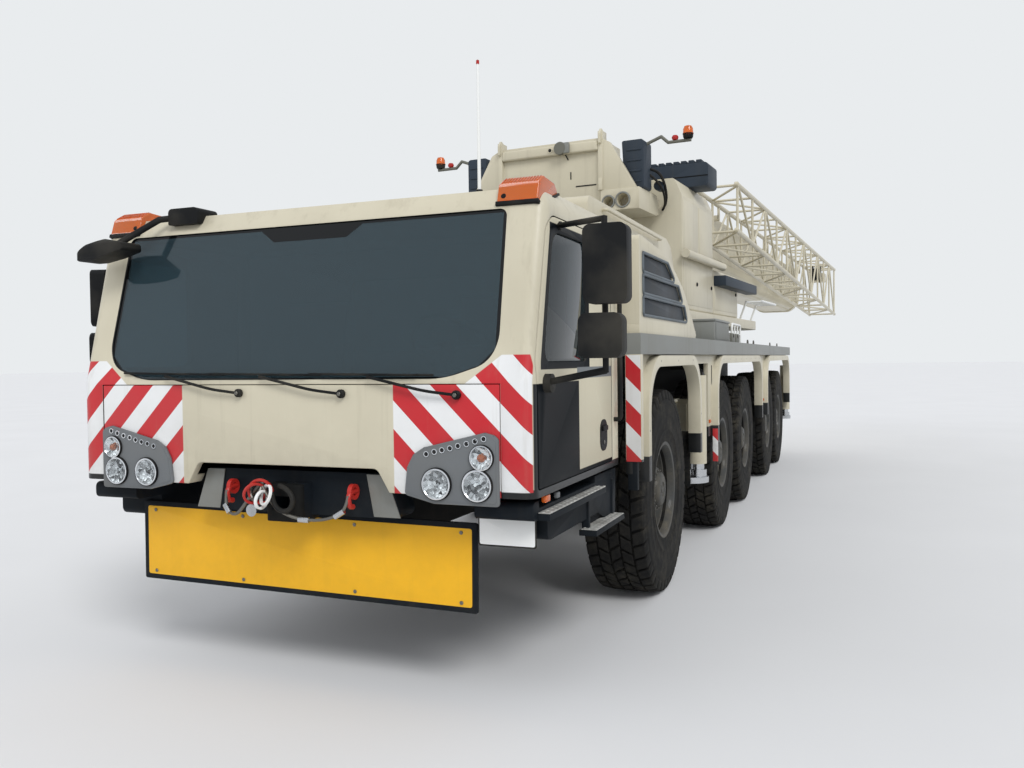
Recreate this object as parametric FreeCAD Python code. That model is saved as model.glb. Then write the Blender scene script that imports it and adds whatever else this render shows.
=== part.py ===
import FreeCAD, Part
import math
import os
from FreeCAD import Placement, Rotation, Vector

# Five-axle all-terrain mobile crane, boom stowed over the rear.
# Millimetres. The cab's front panel stands at y = 0 and the crane's rear is towards +Y.
# +X is the vehicle's left side and z = 0 is the ground. At the end everything is moved
# so that the origin is the middle of the whole crane's outline on the ground.

# Driving dimensions of the carrier
overall_width = 3000.0
cab_width = 2750.0
cab_length = 1500.0
cab_floor_z = 1070.0
cab_belt_z = 1610.0
cab_brow_z = 2460.0
cab_roof_z = 2550.0
cab_rake = 210.0
cab_wall = 45.0
cab_front_radius = 70.0
cab_rear_radius = 50.0
seam_x = cab_width / 2 - 167.0
glass_thickness = 8.0
deck_start = cab_length + 50.0
deck_top = 1867.0
deck_bottom = 1737.0
frame_step = cab_length + 60.0
frame_knee = frame_step + 140.0
frame_seam = 0.3
frame_half = 420.0
frame_bottom = 1000.0
frame_web_half = 380.0
frame_flange = 30.0
frame_front_bottom = 720.0
cab_side = cab_width / 2

# Wheels, one profile for all ten
tyre_radius = 745.0
tyre_width = 445.0
tread_width = 380.0
rim_flange_radius = 350.0
rim_flange_half = 190.0
rim_barrel_half = 175.0
rim_barrel_inner = 285.0
hub_radius = 190.0
hub_outer = 150.0
hub_inner = -60.0
hub_cap_radius = 130.0
hub_cap_outer = 185.0
disc_inner = 20.0
disc_outer = 60.0
spindle_radius = 60.0
spindle_reach = 80.0
first_axle_back = 1200.0
axle_gaps = [2740.0, 1750.0, 2470.0, 1620.0]
axle_places = [cab_length + first_axle_back]
for axle_gap in axle_gaps:
    axle_places.append(axle_places[-1] + axle_gap)
wheel_centre_x = overall_width / 2 - 310.0
kingpin_x = wheel_centre_x - 190.0
kingpin_barrel_radius = 70.0
kingpin_barrel_half = 150.0
yoke_radius = 75.0
yoke_thickness = 65.0
brake_radius = 180.0
running_gap = 0.3
axle_tube_radius = 85.0
diff_radius = 210.0
axle_end_gap = 95.0
yoke_back = 150.0
strut_x = 330.0
strut_lean = 45.0
strut_radius = 30.0

# Wheel arches in the side panels: one over the first axle, and one over each pair behind it
arch_reach = tyre_radius + 135.0
arch_pairs = [(0, 0), (1, 2), (3, 4)]
arch_spans = [(axle_places[a] - arch_reach, axle_places[b] + arch_reach) for a, b in arch_pairs]
arch_top = 1655.0
arch_corner = 300.0
side_outer = overall_width / 2 - 60.0
side_thickness = 40.0
side_bottom = 1000.0
side_top = 1737.0
flare_band = 75.0
flare_bottom = 930.0

# Outriggers: place along the carrier, and which way each beam of a pair leans
outrigger_box_bottom = 1040.0
outrigger_box_reach = overall_width / 2 - 320.0
tunnel_headroom = 5.0
tunnel_side_gap = 3.0
beam_width = 190.0
beam_height = 250.0
beam_wall = 24.0
beam_offset = 125.0
outrigger_box_half = beam_offset + beam_width / 2 + beam_wall
wheel_to_outrigger = 221.0
frame_end = 260.0
outrigger_places = [(axle_places[0] + axle_places[1]) / 2,
                    axle_places[-1] + tyre_radius + wheel_to_outrigger + outrigger_box_half]
carrier_length = outrigger_places[1] + frame_end
deck_end = carrier_length - 450.0
beam_inner_end = 100.0 - outrigger_box_reach
beam_outer_end = overall_width / 2 - 170.0
jack_x = overall_width / 2 - 95.0
jack_outer_radius = 80.0
jack_rod_radius = 58.0
jack_bottom = 800.0
jack_top = 1560.0
pad_radius = 150.0
pad_thickness = 50.0
pad_bottom = 640.0
beam_stroke = 2000.0
jack_stroke = 600.0

# Superstructure: place of the slewing axis, and how far it is turned in the photograph
slew_y = (axle_places[2] + axle_places[3]) / 2 + 75.0
slew_rest_deg = -4.2
luff_rest_deg = -1.0
ring_radius = 850.0
ring_top = 1950.0
platform_bottom = 2100.0
platform_thickness = 120.0
platform_half = 1200.0
cheek_inner = 500.0
cheek_thickness = 50.0
pivot_y = -2250.0
pivot_z = 3420.0
pivot_radius = 90.0
tail_back = -3590.0
tail_front = -2980.0
tail_top = 3930.0
tail_bottom = 3190.0
tail_post_x = 560.0

# Boom: outer width and height of each section, base section first
boom_sections = [(900.0, 980.0), (810.0, 880.0), (720.0, 780.0), (630.0, 680.0)]
boom_wall = 16.0
boom_back_y = -1850.0
boom_front_y = 9700.0
boom_step = 170.0
boom_centre_drop = -20.0
boom_corner_top = 70.0
boom_corner_bottom = 230.0
collar_length = 150.0
pad_length = 120.0
slide_gap = 0.6
telescope_stroke = 8800.0

# Luffing cylinder: its foot pin and its head pin in the superstructure's own frame
cylinder_foot = (-56.0, 2448.0)
barrel_radius = 165.0
barrel_wall = 25.0
rod_radius = 105.0
foot_pin_radius = 70.0
head_pin_radius = 65.0
lug_inner = 115.0
lug_thickness = 60.0
lug_foot_half = 130.0
lug_top_half = 280.0
cradle_open_deg = 30.0
barrel_length = 3330.0
rod_showing = 462.4
head_pin_z = 2800.0
pin_to_pin = barrel_length + rod_showing
cylinder_head = (cylinder_foot[0] + math.sqrt(pin_to_pin ** 2 - (head_pin_z - cylinder_foot[1]) ** 2),
                 head_pin_z)

# Lattice jib stowed beside the boom: near (tip) end and far (root) end
jib_near_y = -50.0
jib_far_y = 10900.0
jib_x = (600.0, 1170.0)
jib_top_z = 4030.0
jib_near_bottom = 3420.0
jib_far_bottom = 2960.0
jib_chord = 66.0
jib_brace = 36.0
jib_hook_drop = 220.0
jib_bays = 11
jib_trim = 22.0
jib_step = 60.0
jib_overhang = 60.0
jib_hook_places = [1300.0, 5300.0, 9280.0]


def box(x0, x1, y0, y1, z0, z1):
    return Part.makeBox(x1 - x0, y1 - y0, z1 - z0, Vector(x0, y0, z0))


def cylinder(start, direction, radius, length):
    return Part.makeCylinder(radius, length, Vector(*start), Vector(*direction))


def cylinder_x(x0, x1, y, z, radius):
    return cylinder((x0, y, z), (1, 0, 0), radius, x1 - x0)


def cylinder_y(y0, y1, x, z, radius):
    return cylinder((x, y0, z), (0, 1, 0), radius, y1 - y0)


def cylinder_z(z0, z1, x, y, radius):
    return cylinder((x, y, z0), (0, 0, 1), radius, z1 - z0)


def rod(start, end, radius):
    """A round bar from one point to another."""
    run = Vector(*end) - Vector(*start)
    return Part.makeCylinder(radius, run.Length, Vector(*start), run)


def prism(points, axis, low, high):
    """A polygon in the plane across an axis, drawn out along it."""
    places = {
        "x": lambda a, b: Vector(low, a, b),
        "y": lambda a, b: Vector(a, low, b),
        "z": lambda a, b: Vector(a, b, low),
    }[axis]
    corners = [places(a, b) for a, b in points]
    face = Part.Face(Part.makePolygon(corners + [corners[0]]))
    way = {"x": Vector(1, 0, 0), "y": Vector(0, 1, 0), "z": Vector(0, 0, 1)}[axis]
    return face.extrude(way * (high - low))


def rounded(points, radii, axis, low, high):
    """As prism, with an arc of its own radius at each corner of the outline."""
    count = len(points)
    flat = [Vector(a, b, 0) for a, b in points]
    edges = []
    starts = []
    ends = []
    for index in range(count):
        here = flat[index]
        back = (flat[index - 1] - here).normalize()
        ahead = (flat[(index + 1) % count] - here).normalize()
        if radii[index] <= 0:
            starts.append(here)
            ends.append(here)
            edges.append(None)
            continue
        half = back.getAngle(ahead) / 2
        reach = radii[index] / math.tan(half)
        start = here + back * reach
        end = here + ahead * reach
        middle_way = (back + ahead).normalize()
        middle = here + middle_way * (radii[index] / math.sin(half) - radii[index])
        starts.append(start)
        ends.append(end)
        edges.append(Part.Arc(start, middle, end).toShape())
    outline = []
    for index in range(count):
        if edges[index] is not None:
            outline.append(edges[index])
        after = (index + 1) % count
        if (starts[after] - ends[index]).Length > 1e-6:
            outline.append(Part.LineSegment(ends[index], starts[after]).toShape())
    face = Part.Face(Part.Wire(outline))
    turn = {"x": Rotation(Vector(1, 1, 1), 120), "y": Rotation(Vector(1, 0, 0), 90), "z": Rotation()}[axis]
    way = {"x": Vector(1, 0, 0), "y": Vector(0, 1, 0), "z": Vector(0, 0, 1)}[axis]
    face.Placement = Placement(way * low, turn)
    return face.extrude(way * (high - low))


def mirrored(shape):
    return shape.mirror(Vector(0, 0, 0), Vector(1, 0, 0))


def fuse(shapes):
    first = shapes[0]
    return first.multiFuse(shapes[1:]).removeSplitter() if len(shapes) > 1 else first


def both_sides(shape):
    return [shape, mirrored(shape)]


# Carrier cab

def cab_plan(z, half, front, back, front_radius, rear_radius):
    """A level outline of the cab with rounded corners, as one wire."""
    arc_mid = math.sqrt(0.5)

    def corner(x, y, radius, out_x, out_y, turn):
        mid = Vector(x + out_x * radius * arc_mid, y + out_y * radius * arc_mid, z)
        side = Vector(x + out_x * radius, y, z)
        end = Vector(x, y + out_y * radius, z)
        pair = (side, end) if turn else (end, side)
        return Part.Arc(pair[0], mid, pair[1])

    fx = half - front_radius
    fy = front + front_radius
    rx = half - rear_radius
    ry = back - rear_radius
    arcs = [
        corner(fx, fy, front_radius, 1, -1, False),
        corner(rx, ry, rear_radius, 1, 1, True),
        corner(-rx, ry, rear_radius, -1, 1, False),
        corner(-fx, fy, front_radius, -1, -1, True),
    ]
    edges = []
    for index in range(4):
        here = arcs[index].toShape()
        after = arcs[(index + 1) % 4].toShape()
        edges.append(here)
        edges.append(Part.LineSegment(here.Vertexes[-1].Point, after.Vertexes[0].Point).toShape())
    return Part.Wire(edges)


def cab_body(inset):
    """The cab's outer form, drawn in all round by an inset."""
    half = cab_width / 2 - inset
    front_radius = cab_front_radius - inset / 2
    rear_radius = max(cab_rear_radius - inset, 8.0)
    back = cab_length - inset
    crown = 55.0
    levels = [
        (cab_floor_z + inset, inset, half, back),
        (cab_belt_z, inset, half, back),
        (cab_brow_z, cab_rake + inset, half, back),
        (cab_roof_z - inset, cab_rake + crown + inset, half - crown, back - crown),
    ]
    wires = [cab_plan(z, h, front, rear, front_radius, rear_radius) for z, front, h, rear in levels]
    return Part.makeLoft(wires, True, True)


# Windscreen opening as seen from the front: its left half from the bottom up, with the radius at each corner
screen_top = 2446.0
screen_corners = [(cab_side - 455, 1627.0, 500.0), (cab_side - 225, 1700.0, 150.0),
                  (cab_side - 184, 1812.0, 200.0),
                  (cab_side - 198, screen_top, 40.0)]
glass_gap = 0.3


def windscreen_prism(inset):
    left = [(x - inset, z + (inset if z < screen_top else -inset)) for x, z, _ in screen_corners]
    radii = [radius for _, _, radius in screen_corners]
    points = left + [(-x, z) for x, z in reversed(left)]
    return rounded(points, radii + radii[::-1], "y", -100.0, cab_rake + 220.0)


# Cab door outline and its window, as seen from the side
door_front = 58.0
door_back = cab_length - 180.0
door_bottom = 1110.0
door_top = 2405.0
door_front_gap = 6.0
door_back_gap = 10.0
door_lean_z = 1700.0
window_front = 150.0
window_back = cab_length - 650.0
window_bottom = 1700.0
window_top = 2335.0


def door_prism(grow_front, grow_back, x0, x1):
    slope = cab_rake * 0.86
    points = [
        (door_front - grow_front, door_bottom - grow_front),
        (door_back + grow_back, door_bottom - grow_front),
        (door_back + grow_back, door_top + grow_front),
        (door_front + slope - grow_front, door_top + grow_front),
        (door_front - grow_front, door_lean_z),
    ]
    radii = [20.0, 20.0, 90.0, 120.0, 200.0]
    return rounded(points, radii, "x", x0, x1)


def window_prism(inset, x0, x1):
    points = [
        (window_front + inset, window_bottom + inset),
        (window_back - inset, window_bottom + inset),
        (window_back - inset, window_top - inset),
        (window_front + 150.0 + inset, window_top - inset),
    ]
    return rounded(points, [60.0, 60.0, 50.0, 120.0], "x", x0, x1)


panel_gap = 4.0
front_panel_top = 1600.0


def front_panel_prism(grow):
    """Cream panel under the windscreen, cut back below to show the bumper."""
    points = [
        (-seam_x - grow, cab_floor_z - 60.0),
        (-seam_x - grow, front_panel_top + grow),
        (seam_x + grow, front_panel_top + grow),
        (seam_x + grow, cab_floor_z - 60.0),
    ]
    return prism(points, "y", -100.0, cab_wall + 60.0)


cutout_top_half = 549.0
cutout_bottom_half = 665.0
cutout_top_z = 1186.0


def cutout_prism():
    points = [
        (-cutout_bottom_half, cab_floor_z - 80.0),
        (cutout_bottom_half, cab_floor_z - 80.0),
        (cutout_top_half, cutout_top_z),
        (-cutout_top_half, cutout_top_z),
    ]
    return rounded(points, [0, 0, 40.0, 40.0], "y", -100.0, cab_wall + 60.0)


rear_window_half = 480.0
rear_window_z = (1780.0, 2260.0)


def rear_window_prism(inset):
    low, high = rear_window_z
    points = [
        (-rear_window_half + inset, low + inset),
        (rear_window_half - inset, low + inset),
        (rear_window_half - inset, high - inset),
        (-rear_window_half + inset, high - inset),
    ]
    return rounded(points, [50.0] * 4, "y", cab_length - 120.0, cab_length + 60.0)


def cab_skin():
    return cab_body(0.0).cut(cab_body(cab_wall))


def cab_parts():
    """Shell, glass, front panel and doors, all cut from one skin."""
    skin = cab_skin()
    door_hole = door_prism(door_front_gap, door_back_gap, cab_width / 2 - 140.0, cab_width / 2 + 60.0)
    door_solid = door_prism(0.0, 0.0, cab_width / 2 - 140.0, cab_width / 2 + 60.0)
    window = window_prism(0.0, cab_width / 2 - 140.0, cab_width / 2 + 60.0)
    panel = skin.common(front_panel_prism(0.0)).cut(cutout_prism())
    shell = skin.cut(front_panel_prism(panel_gap))
    shell = shell.cut(windscreen_prism(0.0)).cut(rear_window_prism(0.0))
    shell = shell.cut(door_hole).cut(mirrored(door_hole))
    floor_lip = box(-cab_width / 2 + 160, cab_width / 2 - 160, cab_wall + 110.0, 200.0, cab_floor_z,
                    cab_floor_z + cab_wall)
    recess = box(-bumper_half[0] - 5, bumper_half[0] + 5, -10.0, bumper_y[1] + 5, cab_floor_z - 10,
                 bumper_z[1] + 5)
    shell = fuse([shell, floor_lip]).cut(recess)
    pane_layer = cab_body(10.0).cut(cab_body(10.0 + glass_thickness))
    screen = pane_layer.common(windscreen_prism(glass_gap))
    rear_pane = pane_layer.common(rear_window_prism(glass_gap))
    side_pane = pane_layer.common(window_prism(glass_gap, cab_width / 2 - 140.0, cab_width / 2 + 60.0))
    door = skin.common(door_solid).cut(window)
    return shell, Part.makeCompound([screen, rear_pane]), panel, door, side_pane


mirror_back = 60.0
mirror_front = -30.0
mirror_post = cab_side + 325.0
mirror_hinge_y = 171.0
right_mirror_fold = 70.0


def door_mirror(fold):
    """Two mirror heads on a bent tube, drawn for the left door; the fold swings them back about the lower boss."""
    tall_x = (cab_side + 250, cab_side + 450)
    low_x = (cab_side + 225, cab_side + 425)
    tall = rounded([(tall_x[0], 1955), (tall_x[1], 1955), (tall_x[1], 2305), (tall_x[0], 2305)], [35.0] * 4,
                   "y", mirror_front, mirror_back)
    low = rounded([(low_x[0], 1715), (low_x[1], 1715), (low_x[1], 1915), (low_x[0], 1915)], [40.0] * 4,
                  "y", mirror_front, mirror_back)
    hinge = Vector(cab_side, mirror_hinge_y, 0)
    post = Vector(mirror_post, mirror_back + 5.0, 0)
    tube = cylinder_z(1650.0, 2350.0, post.x, post.y, 14.0)
    for piece in (tall, low, tube):
        piece.rotate(hinge, Vector(0, 0, 1), fold)
    post = Placement(Vector(0, 0, 0), Rotation(Vector(0, 0, 1), fold), hinge).multVec(post)
    top_arm = rod((post.x, post.y, 2340.0), (cab_side - 15, 400.0, 2372.0), 14.0)
    low_arm = rod((post.x, post.y, 1660.0), (cab_side - 15, mirror_hinge_y, 1600.0), 16.0)
    boss = cylinder_x(cab_side - 20, cab_side + 35, mirror_hinge_y, 1600.0, 45.0)
    top_boss = cylinder_x(cab_side - 20, cab_side + 10, 400.0, 2372.0, 22.0)
    return [tall, low, tube, top_arm, low_arm, boss, top_boss]


def doors():
    shell, glass, panel, door, pane = cab_parts()
    left = fuse([door] + door_mirror(0.0))
    right = mirrored(fuse([door] + door_mirror(right_mirror_fold)))
    return shell, glass, panel, Part.makeCompound([left, pane]), Part.makeCompound([right, mirrored(pane)])


seat_x = cab_width / 2 - 725.0


def cab_interior():
    """Dashboard with its column and wheel, and two seats on the floor."""
    floor = cab_floor_z + cab_wall
    dash_points = [(120, 1380), (420, 1400), (520, 1560), (440, 1650), (120, 1600)]
    dash_half = cab_width / 2 - cab_wall - 70.0
    dash = prism(dash_points, "x", -dash_half, dash_half)
    dash_legs = [box(x - 60, x + 60, 270, 360, floor, 1420) for x in (60.0 - dash_half, 0.0, dash_half - 60.0)]
    column = rod((seat_x, 420.0, 1560.0), (seat_x, 640.0, 1800.0), 35.0)
    ring = Part.makeTorus(215.0, 16.0, Vector(seat_x, 640, 1800), Vector(0, 220, 240))
    spokes = rod((seat_x - 210, 640.0, 1800.0), (seat_x + 210, 640.0, 1800.0), 14.0)
    steering = fuse([column, ring, spokes]).cut(dash).cut(dash.translated(Vector(0, running_gap, running_gap)))
    pieces = [fuse([dash] + dash_legs), steering]
    front = cab_length - 740.0
    for x in (-seat_x, seat_x):
        pedestal = box(x - 180, x + 180, front + 100, front + 420, floor, floor + 260)
        cushion = rounded([(front, floor + 260), (front + 510, floor + 260), (front + 510, floor + 400),
                           (front, floor + 400)], [0, 30, 60, 50], "x", x - 250, x + 250)
        back = rounded([(front + 440, floor + 380), (front + 570, floor + 380), (front + 640, floor + 1000),
                        (front + 540, floor + 1000)], [40, 40, 40, 40], "x", x - 235, x + 235)
        pieces.append(fuse([pedestal, cushion, back]))
    return Part.makeCompound(pieces)


# Lamps: x, z and radius of each round lamp in the grey corner panels
round_lamps = [(cab_side - 489, 1127.0, 71.0), (cab_side - 277, 1127.0, 71.0), (cab_side - 253, 1258.0, 56.0)]
lamp_panel_outline = [(666.0, 1069.0), (507.0, 1031.0), (169.0, 1031.0), (169.0, 1345.0), (215.0, 1374.0),
                      (559.0, 1300.0), (616.0, 1265.0), (650.0, 1203.0)]


beacon_outline = [(225.0, 2440.0), (500.0, 2500.0), (450.0, 2595.0), (300.0, 2605.0)]


def lamps():
    """Grey lamp panels with their lamps, roof beacons and side lamps."""
    panel = rounded([(cab_side - inward, z) for inward, z in lamp_panel_outline],
                    [20, 20, 15, 15, 15, 20, 20, 20], "y", -14.0, -0.3)
    heads = [cylinder_y(-30.0, -10.0, x, z, r) for x, z, r in round_lamps]
    left = fuse([panel] + heads)
    beacon = rounded(beacon_outline, [10, 10, 30, 40], "x", cab_side - 255, cab_side - 40)
    beacon = beacon.cut(cab_body(-running_gap))
    tail_y = outrigger_places[1] + outrigger_box_half + running_gap
    tail = box(outrigger_box_reach - 230, outrigger_box_reach - 20, tail_y, tail_y + 40, 1120, 1220)
    return Part.makeCompound(both_sides(left) + both_sides(beacon) + both_sides(tail))


# Carrier frame

def frame_outline(bottom, top):
    return [
        (250, frame_front_bottom + bottom), (frame_step, frame_front_bottom + bottom),
        (frame_knee, frame_bottom + bottom),
        (carrier_length, frame_bottom + bottom), (carrier_length, deck_bottom - top),
        (frame_step, deck_bottom - top), (frame_step, cab_floor_z - top), (250, cab_floor_z - top),
    ]


bumper_z = (925.0, 1150.0)
bumper_y = (90.0, 251.0)
bumper_half = (640.0, 560.0)
jaw_y = 60.0
jaw_radius = 25.0
jaw_z = (900.0, 1090.0)
jaw_half = 110.0
jaw_throat = 35.0
rear_jaw_out = 140.0
rear_jaw_up = 180.0


def outrigger_tunnel(place, side):
    low = outrigger_box_bottom + beam_wall
    y = place + side * beam_offset
    half = beam_width / 2 + tunnel_side_gap
    reach = overall_width / 2
    return box(-reach, reach, y - half, y + half, low - running_gap, low + beam_height + tunnel_headroom)


def chassis():
    """Main frame, and ahead of its seam the low front frame that carries the cab."""
    web = prism(frame_outline(0, 0), "x", -frame_web_half, frame_web_half)
    flange_top = box(-frame_half, frame_half, frame_step, carrier_length, deck_bottom - frame_flange,
                     deck_bottom)
    flange_low = box(-frame_half, frame_half, frame_knee, carrier_length, frame_bottom,
                     frame_bottom + frame_flange)
    tower = cylinder_z(1560.0, ring_top, 0, slew_y, ring_radius)
    low_half, high_half = bumper_half
    bumper = rounded([(-low_half, bumper_z[0]), (low_half, bumper_z[0]), (high_half, bumper_z[1]),
                      (-high_half, bumper_z[1])], [40] * 4, "y", *bumper_y)
    jaw = rounded([(-jaw_half, -20), (jaw_half, -20), (jaw_half, 150), (-jaw_half, 150)], [40, 40, 0, 0], "z",
                  *jaw_z)
    rear_jaw = jaw.mirror(Vector(0, carrier_length / 2, 0), Vector(0, 1, 0))
    rear_jaw.translate(Vector(0, rear_jaw_out, rear_jaw_up))
    pieces = [web, flange_top, flange_low, tower, bumper, jaw, rear_jaw]
    for place in outrigger_places:
        high = outrigger_box_bottom + 2 * beam_wall + beam_height + tunnel_headroom
        pieces.append(box(-outrigger_box_reach, outrigger_box_reach, place - outrigger_box_half,
                          place + outrigger_box_half, outrigger_box_bottom, high))
    body = fuse(pieces)
    for place in outrigger_places:
        for side in (-1, 1):
            body = body.cut(outrigger_tunnel(place, side))
    middle = (jaw_z[0] + jaw_z[1]) / 2
    throat = box(-60, 60, -60, jaw_y + 60, middle - jaw_throat, middle + jaw_throat)
    pin_hole = cylinder_z(jaw_z[0] - 10, jaw_z[1] + 10, 0, jaw_y, jaw_radius)
    for cutter in (throat, pin_hole):
        rear = cutter.mirror(Vector(0, carrier_length / 2, 0), Vector(0, 1, 0))
        rear.translate(Vector(0, rear_jaw_out, rear_jaw_up))
        body = body.cut(cutter).cut(rear)
    seam = box(-frame_half, frame_half, frame_step - frame_seam, frame_step, 0, deck_top)
    return body.cut(seam)


def deck():
    """Ribbed deck plate with its side bands, open round the slewing ring and under the hood."""
    half = overall_width / 2
    slab = box(-half, half, deck_start, deck_end, deck_bottom, deck_top)
    plate = 22.0
    hollow = box(-half + 30, half - 30, deck_start + 30, deck_end - 30, deck_bottom - 10, deck_top - plate)
    ribs = []
    spacing = 640.0
    count = int((deck_end - deck_start) / spacing)
    for index in range(1, count + 1):
        y = deck_start + index * spacing
        ribs.append(box(-half + 30, half - 30, y - 15, y + 15, deck_bottom, deck_top - plate))
    body = slab.cut(hollow)
    body = fuse([body] + ribs)
    return body.cut(cylinder_z(deck_bottom - 5, deck_top + 5, 0, slew_y, ring_radius + 20))


def fenders():
    """Side panels with three arches and their proud rims, and the striped post behind the cab."""
    side_end = arch_spans[-1][1] + flare_band
    outline = [(deck_start, side_bottom), (side_end, side_bottom), (side_end, side_top), (deck_start, side_top)]
    panel = prism(outline, "x", side_outer - side_thickness, side_outer)
    rims = []
    for start, end in arch_spans:
        opening = rounded([(start, 500), (end, 500), (end, arch_top), (start, arch_top)],
                          [0, 0, arch_corner, arch_corner], "x", side_outer - 140, side_outer + 160)
        outer = rounded([(start - flare_band, flare_bottom), (end + flare_band, flare_bottom),
                         (end + flare_band, arch_top + flare_band),
                         (start - flare_band, arch_top + flare_band)],
                        [0, 0, arch_corner + flare_band, arch_corner + flare_band],
                        "x", side_outer - side_thickness, overall_width / 2)
        rims.append(outer.cut(opening))
        panel = panel.cut(opening)
    post = box(side_outer - side_thickness, overall_width / 2, deck_start, deck_start + 50, side_bottom + 75,
               side_top)
    side = fuse([panel, post] + rims)
    for lean in (-1, 1):
        y = outrigger_places[0] + lean * beam_offset
        side = side.cut(box(side_outer - 140, side_outer + 160, y - 125, y + 125, 500, 1660))
    return Part.makeCompound(both_sides(side))


# Axles, knuckles and wheels

def axle_housing():
    """Axle tube swelling to its differential housing, turned about the axle's own line."""
    half = kingpin_x - axle_end_gap
    shoulder = math.sqrt(diff_radius ** 2 - axle_tube_radius ** 2)
    corners = [(shoulder, axle_tube_radius), (half, axle_tube_radius), (half, 0), (-half, 0),
               (-half, axle_tube_radius), (-shoulder, axle_tube_radius)]
    points = [Vector(x, 0, r) for x, r in corners]
    edges = [Part.LineSegment(a, b).toShape() for a, b in zip(points, points[1:])]
    edges.append(Part.Arc(points[-1], Vector(0, 0, diff_radius), points[0]).toShape())
    return Part.Face(Part.Wire(edges)).revolve(Vector(0, 0, 0), Vector(1, 0, 0), 360)


def yoke(side):
    """Fork that holds the kingpin barrel from above and below."""
    reach = kingpin_barrel_half + running_gap + yoke_thickness
    arm = reach - yoke_thickness
    back = kingpin_x - yoke_back
    wall = back + yoke_thickness
    tip = kingpin_x + yoke_radius
    fork = [(back, -reach), (tip, -reach), (tip, -arm), (wall, -arm), (wall, arm), (tip, arm), (tip, reach),
            (back, reach)]
    plan = [(back - 10, -yoke_radius), (tip, -yoke_radius), (tip, yoke_radius), (back - 10, yoke_radius)]
    body = prism(fork, "y", -yoke_radius, yoke_radius)
    body = body.common(rounded(plan, [0, yoke_radius - 8, yoke_radius - 8, 0], "z", -reach - 5, reach + 5))
    return body if side > 0 else mirrored(body)


def axle_beam(y):
    """One driven axle: housing, yokes for the kingpins, and the struts up to the frame."""
    struts = [cylinder_z(0, frame_bottom - tyre_radius, x, lean * strut_lean, strut_radius)
              for x in (-strut_x, strut_x) for lean in (-1, 1)]
    body = fuse([axle_housing(), yoke(1), yoke(-1)] + struts)
    body.translate(Vector(0, y, tyre_radius))
    return body


def wheel_profile():
    """Half section of tyre, rim, disc and hub: along the axle, and out from it."""
    half = tyre_width / 2
    bore = spindle_radius + running_gap
    return [
        (hub_inner, bore), (hub_inner, hub_radius), (disc_inner, hub_radius), (disc_inner, rim_barrel_inner),
        (-rim_barrel_half, rim_barrel_inner), (-rim_barrel_half - 8, rim_flange_radius),
        (-rim_flange_half, rim_flange_radius), (-half + 12, 420), (-half, 540), (-half + 8, 640),
        (-tread_width / 2 - 10, tyre_radius - 30), (-tread_width / 2 + 20, tyre_radius - 6), (0, tyre_radius),
        (tread_width / 2 - 20, tyre_radius - 6), (tread_width / 2 + 10, tyre_radius - 30), (half - 8, 640),
        (half, 540), (half - 12, 420), (rim_flange_half, rim_flange_radius),
        (rim_barrel_half + 8, rim_flange_radius),
        (rim_barrel_half, rim_barrel_inner), (disc_outer, rim_barrel_inner), (disc_outer, hub_radius),
        (hub_outer, hub_radius - 20), (hub_outer, hub_cap_radius), (hub_cap_outer, hub_cap_radius - 20),
        (hub_cap_outer, 0), (spindle_reach, 0), (spindle_reach, bore),
    ]


def wheel(y, side):
    corners = [Vector(side * (wheel_centre_x + x), 0, r) for x, r in wheel_profile()]
    face = Part.Face(Part.makePolygon(corners + [corners[0]]))
    solid = face.revolve(Vector(0, 0, 0), Vector(1, 0, 0), 360)
    solid.translate(Vector(0, y, tyre_radius))
    return solid


def knuckle(y, side):
    """Kingpin barrel with the brake and the spindle that the wheel turns on."""
    z = tyre_radius
    barrel = cylinder_z(z - kingpin_barrel_half, z + kingpin_barrel_half, side * kingpin_x, y,
                        kingpin_barrel_radius)
    end = wheel_centre_x + spindle_reach - running_gap
    spans = [(kingpin_x, end, spindle_radius), (kingpin_x + 82, kingpin_x + 122, brake_radius)]
    pieces = [barrel]
    for start, stop, radius in spans:
        low, high = sorted((side * start, side * stop))
        pieces.append(cylinder_x(low, high, y, z, radius))
    return fuse(pieces)


# Outriggers

def outrigger_beam(place, side):
    """Box beam that slides out of its tunnel, with the upright jack cylinder at its end."""
    y = place - side * beam_offset
    low = outrigger_box_bottom + beam_wall
    ends = sorted((side * beam_inner_end, side * beam_outer_end))
    beam = box(ends[0], ends[1], y - beam_width / 2, y + beam_width / 2, low, low + beam_height)
    jack = cylinder_z(jack_bottom, jack_top, side * jack_x, y, jack_outer_radius)
    collar = box(*sorted((side * (jack_x - 155.0), side * jack_x)), y - 60, y + 60, low - 40,
                 low + beam_height + 40)
    body = fuse([beam, jack, collar])
    return body.cut(cylinder_z(jack_bottom - 10, jack_top - 30, side * jack_x, y,
                               jack_rod_radius + running_gap))


def jack_foot(place, side):
    y = place - side * beam_offset
    x = side * jack_x
    rod_top = jack_top - 60.0
    shaft = cylinder_z(pad_bottom + 20, rod_top, x, y, jack_rod_radius)
    pad_x = x - side * 55.0
    foot = cylinder_z(pad_bottom, pad_bottom + pad_thickness, pad_x, y, pad_radius)
    cup = cylinder_z(pad_bottom + pad_thickness - 1, pad_bottom + 110, x, y, 78.0)
    return fuse([shaft, foot, cup])


# Engine housing behind the cab

hood_half = overall_width / 2 - 350.0
hood_top = 2750.0
hood_start = cab_length + 120.0
hood_end = hood_start + 2530.0
hood_wall = 30.0
cowl_inner = hood_half + 10.0
cowl_front = cab_length + 60.0


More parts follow.
